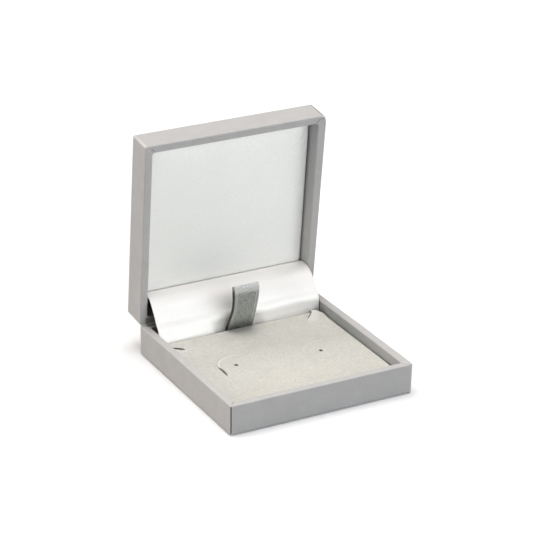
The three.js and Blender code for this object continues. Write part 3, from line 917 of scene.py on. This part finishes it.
def shellSkin(height, openBelow):
    bm = bmesh.new()
    halfX, halfY = box["halfWidth"], box["halfDepth"]
    outer = roundedFace(bm, halfX, halfY, wrapPaper["outerCorner"], height)
    inner = roundedFace(bm, pocketX, pocketY, wrapPaper["innerCorner"], height)
    outerRim, innerRim = openFaces(bm, [outer, inner])
    bmesh.ops.bridge_loops(bm, edges=outerRim + innerRim)
    foot = edgesOf(pull(bm, outerRim, (0, 0, -height)))
    corner = edgesOf(pull(bm, innerRim, (0, 0, box["floor"] - height)))
    bmesh.ops.contextual_create(bm, geom=corner)
    if openBelow:
        turnIn = wrapPaper["turnIn"]
        window = roundedFace(bm, halfX - turnIn, halfY - turnIn, wrapPaper["outerCorner"], 0)
        bmesh.ops.bridge_loops(bm, edges=foot + openFaces(bm, [window])[0])
    else:
        bmesh.ops.contextual_create(bm, geom=foot)
    bmesh.ops.recalc_face_normals(bm, faces=bm.faces)
    bevel(bm, outerRim + innerRim + foot, wrapPaper["edge"], wrapPaper["edgeSteps"])
    return bm


def creaseHingeEdge(bm, height):
    wide = wrapPaper["edge"]
    tight = wrapPaper["hingeEdge"]
    straight = box["halfWidth"] - wrapPaper["outerCorner"]
    for vert in bm.verts:
        awayY = vert.co.y - (box["halfDepth"] - wide)
        awayZ = vert.co.z - (height - wide)
        if min(awayY, awayZ) > tiny and abs(vert.co.x) < straight:
            vert.co.y = box["halfDepth"] - tight + awayY * tight / wide
            vert.co.z = height - tight + awayZ * tight / wide


def cutNotch(bm, height):
    # the rear rim dips by the hinge, with soft shoulders
    steps = wrapPaper["notchSteps"]
    reach = wrapPaper["notchHalf"]
    behind = pocketY - wrapPaper["notchMargin"]
    for side in (-1, 1):
        for step in range(steps + 1):
            x = side * (reach + wrapPaper["notchShoulder"] * step / steps)
            faces = [face for face in bm.faces if all(v.co.y > behind for v in face.verts)]
            edges = {edge for face in faces for edge in face.edges}
            verts = {vert for face in faces for vert in face.verts}
            parts = [*verts, *edges, *faces]
            bmesh.ops.bisect_plane(bm, geom=parts, plane_co=(x, 0, 0), plane_no=(1, 0, 0))
    for vert in bm.verts:
        if vert.co.y > behind and vert.co.z > height - wrapPaper["edge"] - wrapPaper["notchMargin"]:
            share = smoothStep(reach, reach + wrapPaper["notchShoulder"], abs(vert.co.x))
            vert.co.z -= wrapPaper["notchDrop"] * (1 - share)


def cornerStrip(bm, shell):
    # the narrow upright faces at one outer corner
    corner = Vector((*wrapPaper["seamWay"][shell], 0)).normalized()
    facing = wrapPaper["seamFacing"][shell]
    farOut = box["halfWidth"] - wrapPaper["outerCorner"]
    bm.normal_update()
    return [
        face for face in bm.faces
        if face.normal.dot(corner) > facing and face.calc_center_median().x < -farOut
    ]


def openCornerSeam(bm, shell):
    # the paper's two ends don't quite meet at one upright corner
    tall = {
        edge for face in cornerStrip(bm, shell) for edge in face.edges
        if abs(edge.verts[0].co.z - edge.verts[1].co.z) > wrapPaper["seamTall"]
    }
    bmesh.ops.subdivide_edges(bm, edges=list(tall), cuts=wrapPaper["seamCuts"], use_grid_fill=True)
    strip = cornerStrip(bm, shell)
    bmesh.ops.inset_region(
        bm, faces=strip, thickness=wrapPaper["seamLip"][shell], depth=-wrapPaper["seamDepth"],
        use_even_offset=True,
    )
    along = Vector((1, -1, 0)).normalized()
    for vert in {vert for face in strip for vert in face.verts}:
        wobble = noise.noise(Vector((0, 0, vert.co.z * wrapPaper["wobblePitch"])))
        vert.co += along * wrapPaper["seamWobble"] * wobble
    for face in strip:
        face.material_index = 1


def leanWall(bm, shell, side, height):
    # the wall on one side leans out a little towards its rim
    steady, extra = wrapPaper["lean"][shell]
    innerSteady, innerExtra = wrapPaper["leanInner"]
    front = -box["halfDepth"]
    wallBand = [pocketX - away for away in wrapPaper["wallBand"]]
    frontBand = (front + wrapPaper["leanReach"][shell], front + wrapPaper["leanFull"])
    rearBand = [box["halfDepth"] - away for away in wrapPaper["rearBand"]]
    for away in wrapPaper["easeReach"]:
        parts = [*bm.verts, *bm.edges, *bm.faces]
        bmesh.ops.bisect_plane(bm, geom=parts, plane_co=(0, front + away, 0), plane_no=(0, 1, 0))
    for vert in bm.verts:
        off = vert.co.x * side
        inWall = smoothStep(*wallBand, off)
        outer = smoothStep(pocketX, box["halfWidth"] - wrapPaper["outerBand"], off)
        more = extra * smoothStep(*frontBand, vert.co.y)
        rise = partly(wrapPaper["leanFoot"], smoothStep(0, height, vert.co.z))
        push = inWall * (steady * partly(innerSteady, outer) + more * partly(innerExtra, outer))
        ease = smoothStep(*rearBand, vert.co.y)
        pressed = smoothStep(front + wrapPaper["easeReach"][1], front, vert.co.y)
        pressed *= wrapPaper["cornerEase"][shell] * outer * rise**2
        vert.co.x += side * (push * rise * ease - pressed)


def shellPaper(shell, height, openBelow, side):
    skin = shellSkin(height, openBelow)
    creaseHingeEdge(skin, height)
    cutNotch(skin, height)
    openCornerSeam(skin, shell)
    leanWall(skin, shell, side, height)
    return skin


def addWraps():
    baseSkin = shellPaper("base", box["baseHeight"] - box["sheet"], True, 1)
    baseWrap = newPiece(baseSkin, "baseWrapPaper", [baseLeatherette, seamPaper], basePlace)
    lidSkin = shellPaper("lid", box["lidHeight"], False, -1)
    lidWrap = newPiece(lidSkin, "lidWrapPaper", [lidLeatherette, seamPaper], lidPlace)
    for wrap, body in ((baseWrap, "base"), (lidWrap, "lid")):
        thicken(wrap, wrapPaper["thickness"], -1)
        addModifier(wrap, "WEIGHTED_NORMAL", keep_sharp=True)
        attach(wrap, body)
    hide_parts("base_wrap")
    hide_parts("lid_wrap")


addWraps()
print("wraps made")


# The padded panel in the lid, swollen by a cloth simulation in a larger working size
pad = {
    "halfWidth": 41.15,
    "front": -41.1,
    "rear": 32.75,
    "bottom": 2.7,
    "edgeTop": 6.8,
    "face": 7.2,
    "corner": 2.0,
    "cornerSteps": 5,
    "edge": 0.45,
    "edgeSteps": 4,
    "startInset": 0.2,
    "workingSize": 8,
    "voxel": 0.75,
    "frames": 20,
    "cap": 0.4,
    "cover": 0.4,
    "lining": 0.75,
    "fill": 0.55,
    "heldHeight": 0.9,  # the cloth is held up to here
    "backBand": 0.5,
    "cardTop": 1.1,
    "sharpAngle": 60,
}
padCloth = {
    "quality": 6,
    "mass": 0.25,
    "tension_stiffness": 20,
    "compression_stiffness": 20,
    "bending_stiffness": 1.5,
    "use_pressure": True,
    "uniform_pressure_force": 4,
    "vertex_group_mass": "held",
}


def padStart():
    bm = bmesh.new()
    verts = bmesh.ops.create_cube(bm, size=2)["verts"]
    halfX = pad["halfWidth"] - pad["startInset"]
    halfY = (pad["rear"] - pad["front"]) / 2 - pad["startInset"]
    halfZ = (pad["edgeTop"] - pad["bottom"]) / 2
    middleZ = pad["bottom"] + halfZ
    bmesh.ops.scale(bm, vec=(halfX, halfY, halfZ), verts=verts)
    bmesh.ops.translate(bm, vec=(0, (pad["front"] + pad["rear"]) / 2, middleZ), verts=verts)
    upright = [e for e in bm.edges if abs(e.verts[0].co.z - e.verts[1].co.z) > halfZ]
    bevel(bm, upright, pad["corner"], pad["cornerSteps"])
    upper = [e for e in bm.edges if all(v.co.z > middleZ for v in e.verts)]
    bevel(bm, upper, pad["edge"], pad["edgeSteps"])
    return bm


def swellPad():
    size = pad["workingSize"]
    work = newPiece(padStart(), "padWork", [], Matrix.Scale(size, 4))
    addModifier(work, "REMESH", mode="VOXEL", voxel_size=pad["voxel"] * size * mm)
    settle(work)
    start = [vert.co.copy() for vert in work.data.vertices]
    held = work.vertex_groups.new(name="held")
    low = (pad["bottom"] + pad["heldHeight"]) * size * mm
    held.add([v.index for v in work.data.vertices if v.co.z < low], 1, "REPLACE")
    cloth = work.modifiers.new("Cloth", "CLOTH")
    setAll(cloth.settings, padCloth)
    cloth.settings.effector_weights.gravity = 0
    cloth.collision_settings.use_collision = False
    cloth.point_cache.frame_start = 1
    cloth.point_cache.frame_end = pad["frames"]
    for number in range(1, pad["frames"] + 1):
        scene.frame_set(number)
    settle(work)
    scene.frame_set(1)
    return work, start


def padSurface():
    # the simulated form in the lid shell's frame, held inside the room that the panel has
    unit = pad["workingSize"] * mm
    work, start = swellPad()
    bm = bmesh.new()
    bm.from_mesh(work.data)
    bm.verts.ensure_lookup_table()
    bpy.data.objects.remove(work)
    moves = [vert.co - start[vert.index] for vert in bm.verts]
    print("pad swelled by up to", round(max(move.length for move in moves) / unit, 2), "mm")
    cap = pad["cap"] * unit
    for vert, move in zip(bm.verts, moves):
        if move.length > cap / 2:
            move = move.normalized() * (cap - (cap / 2) ** 2 / move.length)
        vert.co = (start[vert.index] + move) / unit
    bmesh.ops.smooth_vert(
        bm, verts=bm.verts, factor=0.5, use_axis_x=True, use_axis_y=True, use_axis_z=True
    )
    fitTo(bm, 0, -pad["halfWidth"], pad["halfWidth"])
    fitTo(bm, 1, pad["front"], pad["rear"])
    fitTo(bm, 2, pad["bottom"], pad["face"])
    return bm


def fitTo(bm, axis, low, high):
    values = [vert.co[axis] for vert in bm.verts]
    least = min(values)
    span = max(values) - least
    for vert in bm.verts:
        vert.co[axis] = low + (vert.co[axis] - least) / span * (high - low)


def addPad():
    surface = padSurface()
    inside = surface.copy()
    backTop = pad["bottom"] + pad["backBand"]
    back = [
        face for face in surface.faces
        if face.normal.z < -0.5 and all(v.co.z < backTop for v in face.verts)
    ]
    bmesh.ops.delete(surface, geom=back, context="FACES")
    cover = newPiece(surface, "lidPadCover", [padSatin()], lidPlace, pad["sharpAngle"])
    thicken(cover, pad["cover"], -1)
    inside.normal_update()
    for vert in inside.verts:
        vert.co -= vert.normal * pad["lining"]
        vert.co.z = max(vert.co.z, pad["bottom"] + pad["cardTop"])
    core = newPiece(inside, "lidPadFoam", [foam], lidPlace, pad["sharpAngle"])
    for piece, slot, node in ((cover, "satin", "lid_pad_cover"), (core, "foam", "lid_pad_foam")):
        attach(piece, "lid")
        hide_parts(node)


addPad()
print("lid pad made")


def cutLoop(bm, low, high, post):
    # a thin standing wall along the C-shaped cut, used to cut with
    start = math.radians(insert["cutStart"])
    radius = insert["cutRadius"]
    bend = insert["cutCorner"]
    centre = Vector((post[0] + insert["cutCentre"][0], post[1] + insert["cutCentre"][1], 0))
    first = centre + radius * Vector((math.cos(start), math.sin(start), 0))
    below = bm.verts.new((first.x, first.y, low))
    above = bm.verts.new((first.x, first.y, high))
    edge = bm.edges.new((below, above))
    made = bmesh.ops.spin(
        bm, geom=[below, above, edge], cent=centre, axis=(0, 0, 1), angle=math.pi - start,
        steps=insert["cutSteps"],
    )
    down = insert["cutDrop"] - bend + insert["cutCentre"][1]
    made = pull(bm, made["geom_last"], (0, -down, 0))
    corner = (centre.x - radius + bend, post[1] - insert["cutDrop"] + bend, 0)
    made = bmesh.ops.spin(
        bm, geom=made, cent=corner, axis=(0, 0, 1), angle=math.pi / 2, steps=insert["cornerSteps"]
    )
    pull(bm, made["geom_last"], (post[0] + insert["cutEnd"] - corner[0], 0, 0))


def insertCutters(low, high, widen):
    bm = bmesh.new()
    middleZ = (low + high) / 2

    def addPlug(radius, sides, place):
        bmesh.ops.create_cone(
            bm, cap_ends=True, segments=sides, radius1=radius, radius2=radius, depth=high - low,
            matrix=place,
        )

    for post in insert["posts"]:
        cutLoop(bm, low, high, post)
    bmesh.ops.solidify(bm, geom=bm.faces[:], thickness=insert["cutWidth"] * widen**3)
    bmesh.ops.recalc_face_normals(bm, faces=bm.faces)
    for post in insert["posts"]:
        addPlug(insert["holeRadius"] * widen, insert["holeSides"], Matrix.Translation((*post, middleZ)))
    for start, end, width in insert["slits"]:
        middle = (Vector(start) + Vector(end)) / 2
        along = Vector(end) - Vector(start)
        turn = Matrix.Rotation(math.atan2(along.y, along.x), 4, "Z")
        scale = Matrix.Diagonal((along.length / 2 * (1 + widen) / 2, width / 2 * widen, 1, 1))
        addPlug(1, insert["slitSides"], Matrix.Translation((*middle, middleZ)) @ turn @ scale)
    return newPiece(bm, "insertCutters", [])


def sheetGrid(cell):
    bm = bmesh.new()
    halfX, front, rear = insert["halfWidth"], insert["front"], insert["rear"]
    columns = round(2 * halfX / cell)
    rows = round((rear - front) / cell)
    flatGrid(bm, columns, rows, (halfX, (rear - front) / 2), (0, (rear + front) / 2, 0))
    for vert in bm.verts:
        pullIntoCorner(vert, halfX, front, rear, insert["corner"])
    return bm


def pullIntoCorner(vert, halfX, front, rear, radius):
    centreX = math.copysign(halfX - radius, vert.co.x)
    middle = (rear + front) / 2
    centreY = rear - radius if vert.co.y > middle else front + radius
    away = Vector((vert.co.x - centreX, vert.co.y - centreY))
    outside = away.x * vert.co.x > 0 and away.y * (vert.co.y - middle) > 0
    if outside and away.length > radius:
        away = away.normalized() * radius
        vert.co.x = centreX + away.x
        vert.co.y = centreY + away.y


def thickSheet(bm, bottom, top):
    made = bmesh.ops.extrude_face_region(bm, geom=bm.faces[:])["geom"]
    fresh = vertsOf(made)
    others = set(bm.verts) - set(fresh)
    bmesh.ops.translate(bm, vec=(0, 0, top), verts=fresh)
    bmesh.ops.translate(bm, vec=(0, 0, bottom), verts=list(others))
    bmesh.ops.recalc_face_normals(bm, faces=bm.faces)


def cutOut(piece, cutters):
    addModifier(piece, "BOOLEAN", operation="DIFFERENCE", solver="EXACT", object=cutters)
    settle(piece)


def insideTongue(awayX, awayY):
    fromCentre = Vector((awayX - insert["cutCentre"][0], awayY - insert["cutCentre"][1]))
    middle = insert["cutWidth"] / 2  # the middle of the cut, just outside the tongue's own edge
    reach = insert["cutRadius"] + middle
    if fromCentre.y > 0:
        return fromCentre.length < reach and awayX < tongue["root"]
    left = insert["cutCentre"][0] - reach
    bottom = -insert["cutDrop"] - middle
    bend = insert["cutCorner"] + middle
    fromCorner = Vector((awayX - left - bend, awayY - bottom - bend))
    if fromCorner.x < 0 and fromCorner.y < 0:
        return fromCorner.length < bend
    return left < awayX < tongue["root"] and awayY > bottom


def tongueRise(awayX, awayY):
    # a tongue rises from its root on the right to its free left edge
    if not insideTongue(awayX, awayY):
        return 0
    rise = smoothStep(*tongue["across"], awayX)
    return rise * smoothStep(*tongue["fromBelow"], awayY) * smoothStep(*tongue["fromAbove"], awayY)


def lowLeftShare(awayX, awayY):
    # 1 at the low left part of a tongue, where the gap beside it is open
    share = smoothStep(*tongue["gapTop"], awayY) * smoothStep(*tongue["gapLeft"], awayX)
    return share * smoothStep(*tongue["gapFoot"], awayY)


def pastLine(x, y, start, end):
    # how far a point lies to the left of a line
    start = Vector(start)
    along = (Vector(end) - start).normalized()
    return along.x * (y - start.y) - along.y * (x - start.x)


def tabRise(x, y):
    # the rear right corner is bent up past a crease, beside its slit
    if pastLine(x, y, *insert["slits"][1][:2]) > 0:
        return 0
    return smoothStep(*tab["bend"], pastLine(x, y, *tab["crease"]))


def onTab(x, y, z):
    # 1 on the bent up tab, between its slit and its creases; the velour's material paints a highlight there
    if tabRise(x, y) == 0:
        return 0
    share = 1
    for start, end in tab["edges"]:
        share *= smoothStep(*tab["edgeFade"], pastLine(x, y, start, end))
    return share


def depthAt(x, y, z):
    # 0 on the velour's face and 1 at its back; the velour's material paints shade from it down the cut
    # walls
    return shareOf(insert["top"], z, insert["velour"])


def bentPoint(x, y, z):
    rise = tabRise(x, y)
    bumpX, bumpY, bump = insert["edgeBump"]
    fromBump = (Vector((x, y)) - Vector((bumpX, bumpY))).length
    lift = tab["lift"] * rise + bump * smoothStep(insert["bumpReach"], 0, fromBump)
    shift = -tab["shift"] * rise * smoothStep(*tab["shiftFade"], x)
    for (postX, postY), height, gap in zip(insert["posts"], tongue["lift"], tongue["gap"]):
        share = tongueRise(x - postX, y - postY)
        lift += height * share
        shift += gap * share * lowLeftShare(x - postX, y - postY)
    pitch = insert["ripplePitch"]
    lift += insert["ripple"] * noise.noise(Vector((x * pitch, y * pitch, 3.1)))
    return x + shift, y, z + lift


def bendSheet(piece):
    # where the velour's material paints a highlight on the tab, and where it paints shade down the cut
    # walls
    setValues(piece, "paintedTabLight", onTab)
    setValues(piece, "depth", depthAt)
    for vert in piece.data.vertices:
        vert.co = Vector(bentPoint(*(vert.co / mm))) * mm


def addInsert():
    low = cardUnder - insert["cutMargin"]
    high = insert["top"] + insert["cutMargin"]
    cutters = insertCutters(low, high, 1)
    deepCutters = insertCutters(low, high, insert["cardWiden"])
    velourSheet = sheetGrid(insert["cell"])
    thickSheet(velourSheet, velourUnder, insert["top"])
    velourPiece = newPiece(velourSheet, "insertVelour", [velour])
    cutOut(velourPiece, cutters)
    bendSheet(velourPiece)
    smoothFaces(velourPiece.data, 50)

    cardSheet = sheetGrid(insert["cardCell"])
    thickSheet(cardSheet, cardUnder, velourUnder)
    addLegs(cardSheet)
    cardPiece = newPiece(cardSheet, "insertCard", [creamCard], sharpAngle=30)
    cutOut(cardPiece, deepCutters)
    bendSheet(cardPiece)
    bpy.data.objects.remove(cutters)
    bpy.data.objects.remove(deepCutters)
    for piece, slot, node in ((velourPiece, "velour", "insert_velour"), (cardPiece, "card", "insert_card")):
        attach(piece, "insert")
        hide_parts(node)


def addLegs(bm):
    # the card's four sides are folded down, but not in the corners or where the ribbon passes
    def nearSide(centre, band):
        return abs(centre.x) > insert["halfWidth"] - band

    def nearEnd(centre, band):
        return centre.y < insert["front"] + band or centre.y > insert["rear"] - band

    walls = []
    for face in bm.faces:
        centre = face.calc_center_median()
        low = max(vert.co.z for vert in face.verts) < cardUnder + legs["slack"]
        side = nearSide(centre, legs["width"])
        end = nearEnd(centre, legs["width"])
        inCorner = nearSide(centre, legs["corner"]) and nearEnd(centre, legs["corner"])
        byRibbon = end and centre.y > 0 and abs(centre.x - legs["ribbonX"]) < legs["ribbonWay"]
        if low and (side or end) and not inCorner and not byRibbon:
            walls.append(face)
    made = bmesh.ops.extrude_face_region(bm, geom=walls)["geom"]
    bmesh.ops.delete(bm, geom=walls, context="FACES_ONLY")
    bmesh.ops.translate(bm, vec=(0, 0, -legs["drop"]), verts=vertsOf(made))


addInsert()
print("insert made")


# The satin flap over the hinge: glued inside the lid, bowed over the hinge and glued to the floor
flap = {
    "halfWidth": 40.9,
    "rightExtra": 0.35,  # a little wider on the right
    "thickness": 0.35,
    "columns": 96,
    "rows": 72,
    "panelEdge": 33.0,  # just behind the panel's lower edge, in the shut lid
    "panelBack": 24.6,
    "panelRim": 21.5,
    "panelFace": 20.5,
    "lap": 1.0,  # how far it rises over the panel's lower edge
    # y and z from the panel down to the insert, at the two side edges
    "leftLine": (
        (46.6, 27.9), (43.7, 27.0), (41.5, 24.9), (39.3, 21.8), (37.2, 18.5), (34.9, 14.8), (32.9, 11.6),
    ),
    "rightLine": (
        (46.3, 27.9), (43.1, 27.1), (39.8, 25.2), (36.8, 22.1), (34.5, 18.8), (32.6, 15.2), (31.9, 11.8),
    ),
    "rightShare": 0.6,  # the right line holds from this share of the half width
    "backY": 31.875,  # behind the insert's rear edge
    "dent": 1.95,  # set back behind the ribbon
    "dentFade": 7,
    "dentTop": 17,
    "foot": 3.6,
    "footZ": 3.275,
    "wrinkle": 0.28,
    "wrinkleAcross": 0.07,
    "wrinkleAlong": 6,
    "looseFrom": (0.1, 0.3),
    "looseTo": (0.75, 0.55),
    "ridge": 0.5,  # how far a soft fold stands out, low on the flap
    "ridgeSpan": (0.55, 0.61, 0.72),
}
ribbonMiddle = -0.8
ribbonHalf = 6.7


def flapPoints(x):
    beside = abs(x - ribbonMiddle) - ribbonHalf - 1
    dent = flap["dent"] * (1 + math.cos(math.pi * shareOf(beside, 0, flap["dentFade"]))) / 2
    edge, footZ = flap["panelEdge"], flap["footZ"]
    points = [
        openPoint(edge, flap["panelBack"]),
        openPoint(edge, flap["panelRim"]),
        openPoint(edge - flap["lap"], flap["panelFace"]),
    ]
    share = smoothStep(-box["halfWidth"], box["halfWidth"] * flap["rightShare"], x)
    for left, right in zip(flap["leftLine"], flap["rightLine"]):
        point = Vector(left).lerp(Vector(right), share)
        point.x += dent * smoothStep(flap["dentTop"], insert["top"], point.y)
        points.append(point)
    back = flap["backY"] + dent
    hidden = (
        (back, insert["top"] + box["seatGap"]),
        (back, (insert["top"] + footZ) / 2),
        (back + flap["thickness"], footZ + flap["thickness"]),
        (back + flap["foot"], footZ),
    )
    return points + [Vector(point) for point in hidden]


def flapPoint(x, share, point):
    # a point of the even line, with the flap's soft wrinkles and its fold
    loose = smoothStep(*flap["looseFrom"], share) * smoothStep(*flap["looseTo"], share)
    place = Vector((x * flap["wrinkleAcross"], share * flap["wrinkleAlong"], 1.7))
    soft = flap["wrinkle"] * loose * noise.noise(place)
    above, top, below = flap["ridgeSpan"]
    ridge = flap["ridge"] * smoothStep(above, top, share) * smoothStep(below, top, share)
    x += flap["rightExtra"] * smoothStep(0, flap["halfWidth"], x)
    return Vector((x, point.x - soft - ridge, point.y + soft))


def addFlap():
    bm = clothGrid(flap)
    columns, rows = flap["columns"], flap["rows"]
    lines = {}
    lengths = []
    for vert in bm.verts:
        column = round((vert.co.x + 1) / 2 * columns)
        row = round((vert.co.y + 1) / 2 * rows)
        x = vert.co.x * flap["halfWidth"]
        if column not in lines:
            lines[column], length = evenLine(flapPoints(x), rows)
            lengths.append(length)
        vert.co = flapPoint(x, row / rows, lines[column][row])
    length = sum(lengths) / len(lengths)
    satin = flapSatin(2 * flap["halfWidth"], length)
    bmesh.ops.recalc_face_normals(bm, faces=bm.faces)
    piece = newPiece(bm, "satinFlap", [satin], sharpAngle=80)
    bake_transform(piece)
    thicken(piece, flap["thickness"])
    addModifier(piece, "SUBSURF", levels=1, render_levels=1)
    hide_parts("satin_flap")
    print("flap cut", round(2 * flap["halfWidth"], 1), "by", round(length, 1), "mm")


addFlap()


# The pull ribbon: tucked under the card, up behind the insert and folded over at the top
ribbon = {
    "width": 13,
    "thickness": 0.4,
    "columns": 16,
    "rows": 110,
    "footY": 31.9,
    "rise": 24,
    "lean": 7.2,
    "foldRadius": 1.3,
    "tuck": 9,
    "tuckZ": 7.2,
    "plySpacing": 0.8,
    "shares": (0.2, 0.45, 0.7),
    "selvedge": 0.12,
    "selvedgeFade": (0.74, 0.84),
    # its middle and half width at the foot, halfway up and at the fold
    "middles": (-0.8, -0.7, -0.75),
    "halves": (6.7, 6.1, 6.4),
    "backShift": 0.35,
    "backFade": (0.48, 0.56),
}


def ribbonPoints():
    footY = ribbon["footY"]
    radius = ribbon["foldRadius"]
    top = insert["top"]
    foldZ = top + ribbon["rise"] - radius
    foldY = footY - ribbon["lean"]

    def frontY(share):
        return footY - ribbon["lean"] * math.sin(share * math.pi / 2)

    def spacing(share):
        return ribbon["plySpacing"] + (2 * radius - ribbon["plySpacing"]) * share

    def heightAt(share):
        return top + (foldZ - top) * share

    points = [
        (footY - ribbon["tuck"], ribbon["tuckZ"]),
        (footY - 1, ribbon["tuckZ"]),
        (footY, top - insert["velour"]),
    ]
    points += [(frontY(share), heightAt(share)) for share in ribbon["shares"]]
    points += [(foldY, foldZ), (foldY + radius, foldZ + radius), (foldY + 2 * radius, foldZ)]
    points += [(frontY(share) + spacing(share), heightAt(share)) for share in reversed(ribbon["shares"])]
    lowerTuck = ribbon["tuckZ"] - ribbon["plySpacing"]
    points += [
        (footY + ribbon["plySpacing"], top - insert["velour"]),
        (footY - 1, lowerTuck),
        (footY - ribbon["tuck"], lowerTuck),
    ]
    return [Vector(point) for point in points]


def splineValue(values, share):
    return splinePoint([Vector((value, 0)) for value in values], share).x


def riseAt(x, y, z):
    # 0 at the velour and 1 at the ribbon's top
    return shareOf(z, insert["top"], ribbon["rise"])


def ribbonPoint(line, row, across):
    before = line[max(row - 1, 0)]
    after = line[min(row + 1, ribbon["rows"])]
    along = (after - before).normalized()
    bulge = ribbon["selvedge"] * smoothStep(*ribbon["selvedgeFade"], abs(across))
    point = line[row] + Vector((along.y, -along.x)) * -bulge
    share = shareOf(line[row].y, insert["top"], ribbon["rise"])
    onBack = smoothStep(*ribbon["backFade"], row / ribbon["rows"])
    middle = splineValue(ribbon["middles"], share) + ribbon["backShift"] * onBack * share
    return Vector((middle + across * splineValue(ribbon["halves"], share), point.x, point.y))


def addRibbon():
    bm = clothGrid(ribbon)
    line, length = evenLine(ribbonPoints(), ribbon["rows"])
    for vert in bm.verts:
        row = round((vert.co.y + 1) / 2 * ribbon["rows"])
        vert.co = ribbonPoint(line, row, vert.co.x)
    bmesh.ops.recalc_face_normals(bm, faces=bm.faces)
    piece = newPiece(bm, "pullRibbon", [ribbonMaterial(ribbon["width"], length)], sharpAngle=80)
    setValues(piece, "rise", riseAt)
    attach(piece, "insert")
    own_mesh(piece)
    thicken(piece, ribbon["thickness"])
    addModifier(piece, "SUBSURF", levels=1, render_levels=1)
    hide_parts("pull_ribbon")
    print("ribbon cut", ribbon["width"], "by", round(length, 1), "mm")


addRibbon()


# The two snap springs: thin bowed strips from the base's leaf to the lid's
spring = {
    "width": 7,
    "spread": 20,
    "thickness": 0.3,
    "foot": 6.4,
    "steps": 24,
    "radius": 4.55,
}


def addSpring(name, node, middle):
    bm = bmesh.new()
    half = spring["width"] / 2
    radius = spring["radius"]
    footPlace = (axisY - radius, axisZ - spring["foot"])
    left = bm.verts.new((middle - half, *footPlace))
    right = bm.verts.new((middle + half, *footPlace))
    strip = [left, right, bm.edges.new((left, right))]
    strip = pull(bm, strip, (0, 0, spring["foot"]))
    made = bmesh.ops.spin(
        bm, geom=strip, cent=(0, axisY, axisZ), axis=(-1, 0, 0), angle=openTurn, steps=spring["steps"]
    )
    end = openPoint(axisY - radius, axisZ + spring["foot"])
    turn = math.pi - openTurn
    bend = Vector((axisY + radius * math.cos(turn), axisZ + radius * math.sin(turn)))
    pull(bm, made["geom_last"], (0, end.x - bend.x, end.y - bend.y))
    bmesh.ops.recalc_face_normals(bm, faces=bm.faces)
    piece = newPiece(bm, name, [steel])
    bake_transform(piece)
    thicken(piece, spring["thickness"])
    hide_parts(node)


addSpring("snapSpringLeft", "snap_spring_left", -spring["spread"] / 2)
addSpring("snapSpringRight", "snap_spring_right", spring["spread"] / 2)
print("soft pieces and springs made")


# Finishes of the pieces that keep their solid from the frame
steelNodes = (
    "hinge_base_leaf", "hinge_lid_leaf", "hinge_pin",
    "base_rivet_1", "base_rivet_2", "lid_rivet_1", "lid_rivet_2",
)
nodeFinish = {
    "base_carcass": greyBoard,
    "lid_carcass": greyBoard,
    "base_underside_sheet": undersidePaper,
    "lid_pad_card": creamCard,
    **dict.fromkeys(steelNodes, steel),
}
for nodeName, finish in nodeFinish.items():
    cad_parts[nodeName].material_slots[0].material = finish


# A pale floor, a soft lamp overhead, weaker ones from the rear left and the front, and a faint surround
light = {
    "surround": 0.07,
    "floorHalf": 30,
    "floorTone": 0.45,  # how much light the floor gives back to the box
    "floorGlow": 0.085,  # keeps the open floor white, so only the box's own shadow shows
}
lamps = {
    "overhead": {"strength": 2.46, "size": 47, "from": (-0.02, 0.14, 1.0), "tint": (1.0, 0.985, 0.965)},
    "rearLeft": {"strength": 1.75, "size": 40, "from": (-0.77, 0.6, 0.15), "tint": (1.0, 0.95, 0.91)},
    "front": {"strength": 1.58, "size": 60, "from": (0.18, -0.9, 0.22), "tint": (0.87, 0.94, 1.0)},
}


def seenRays(nodes):
    # 1 for what the camera sees, straight or in a shine, and 0 for light that falls on the box
    rays = nodes.add("LightPath").outputs
    seen = nodes.most(rays["Is Camera Ray"], rays["Is Glossy Ray"])
    return nodes.most(seen, rays["Is Transmission Ray"])


def addFloor():
    bm = bmesh.new()
    bmesh.ops.create_grid(bm, x_segments=4, y_segments=4, size=light["floorHalf"] / mm)
    look = Look("paperFloor")
    fibres = look.noise(look.millimetres(), 0.8, 3.0, 0.6)
    white = look.mix(fibres, (0.98, 0.98, 0.98, 1), (1, 1, 1, 1))
    tone = light["floorTone"]
    seen = seenRays(look)
    material = look.finish({
        "Base Color": look.mix(seen, (tone, tone, tone, 1), white),
        "Emission Color": (1, 1, 1, 1),
        "Emission Strength": look.times(seen, light["floorGlow"]),
        "Roughness": 1,
        "Specular IOR Level": 0,
    })
    floor = newPiece(bm, "floor", [material])


def addLamp(name, strength, size, tint, **place):
    data = bpy.data.lights.new(name, "SUN")
    data.energy = strength
    data.angle = math.radians(size)
    data.color = tint
    lamp = bpy.data.objects.new(name, data)
    lamp.rotation_mode = "QUATERNION"
    lamp.rotation_quaternion = Vector(place["from"]).to_track_quat("Z", "Y")
    scene.collection.objects.link(lamp)


def addLights():
    for name, lamp in lamps.items():
        addLamp(name, **lamp)

    world = bpy.data.worlds.new("surround")
    world.use_nodes = True
    scene.world = world
    world.node_tree.nodes.clear()
    nodes = Nodes(world.node_tree)
    strength = nodes.fade(seenRays(nodes), 0.0, 1.0, light["surround"], 1.0)
    glow = nodes.add("Background", {"Color": (1, 1, 1, 1), "Strength": strength})
    nodes.add("OutputWorld", {"Surface": glow.outputs["Background"]})


addFloor()
addLights()
print("floor and lights made")
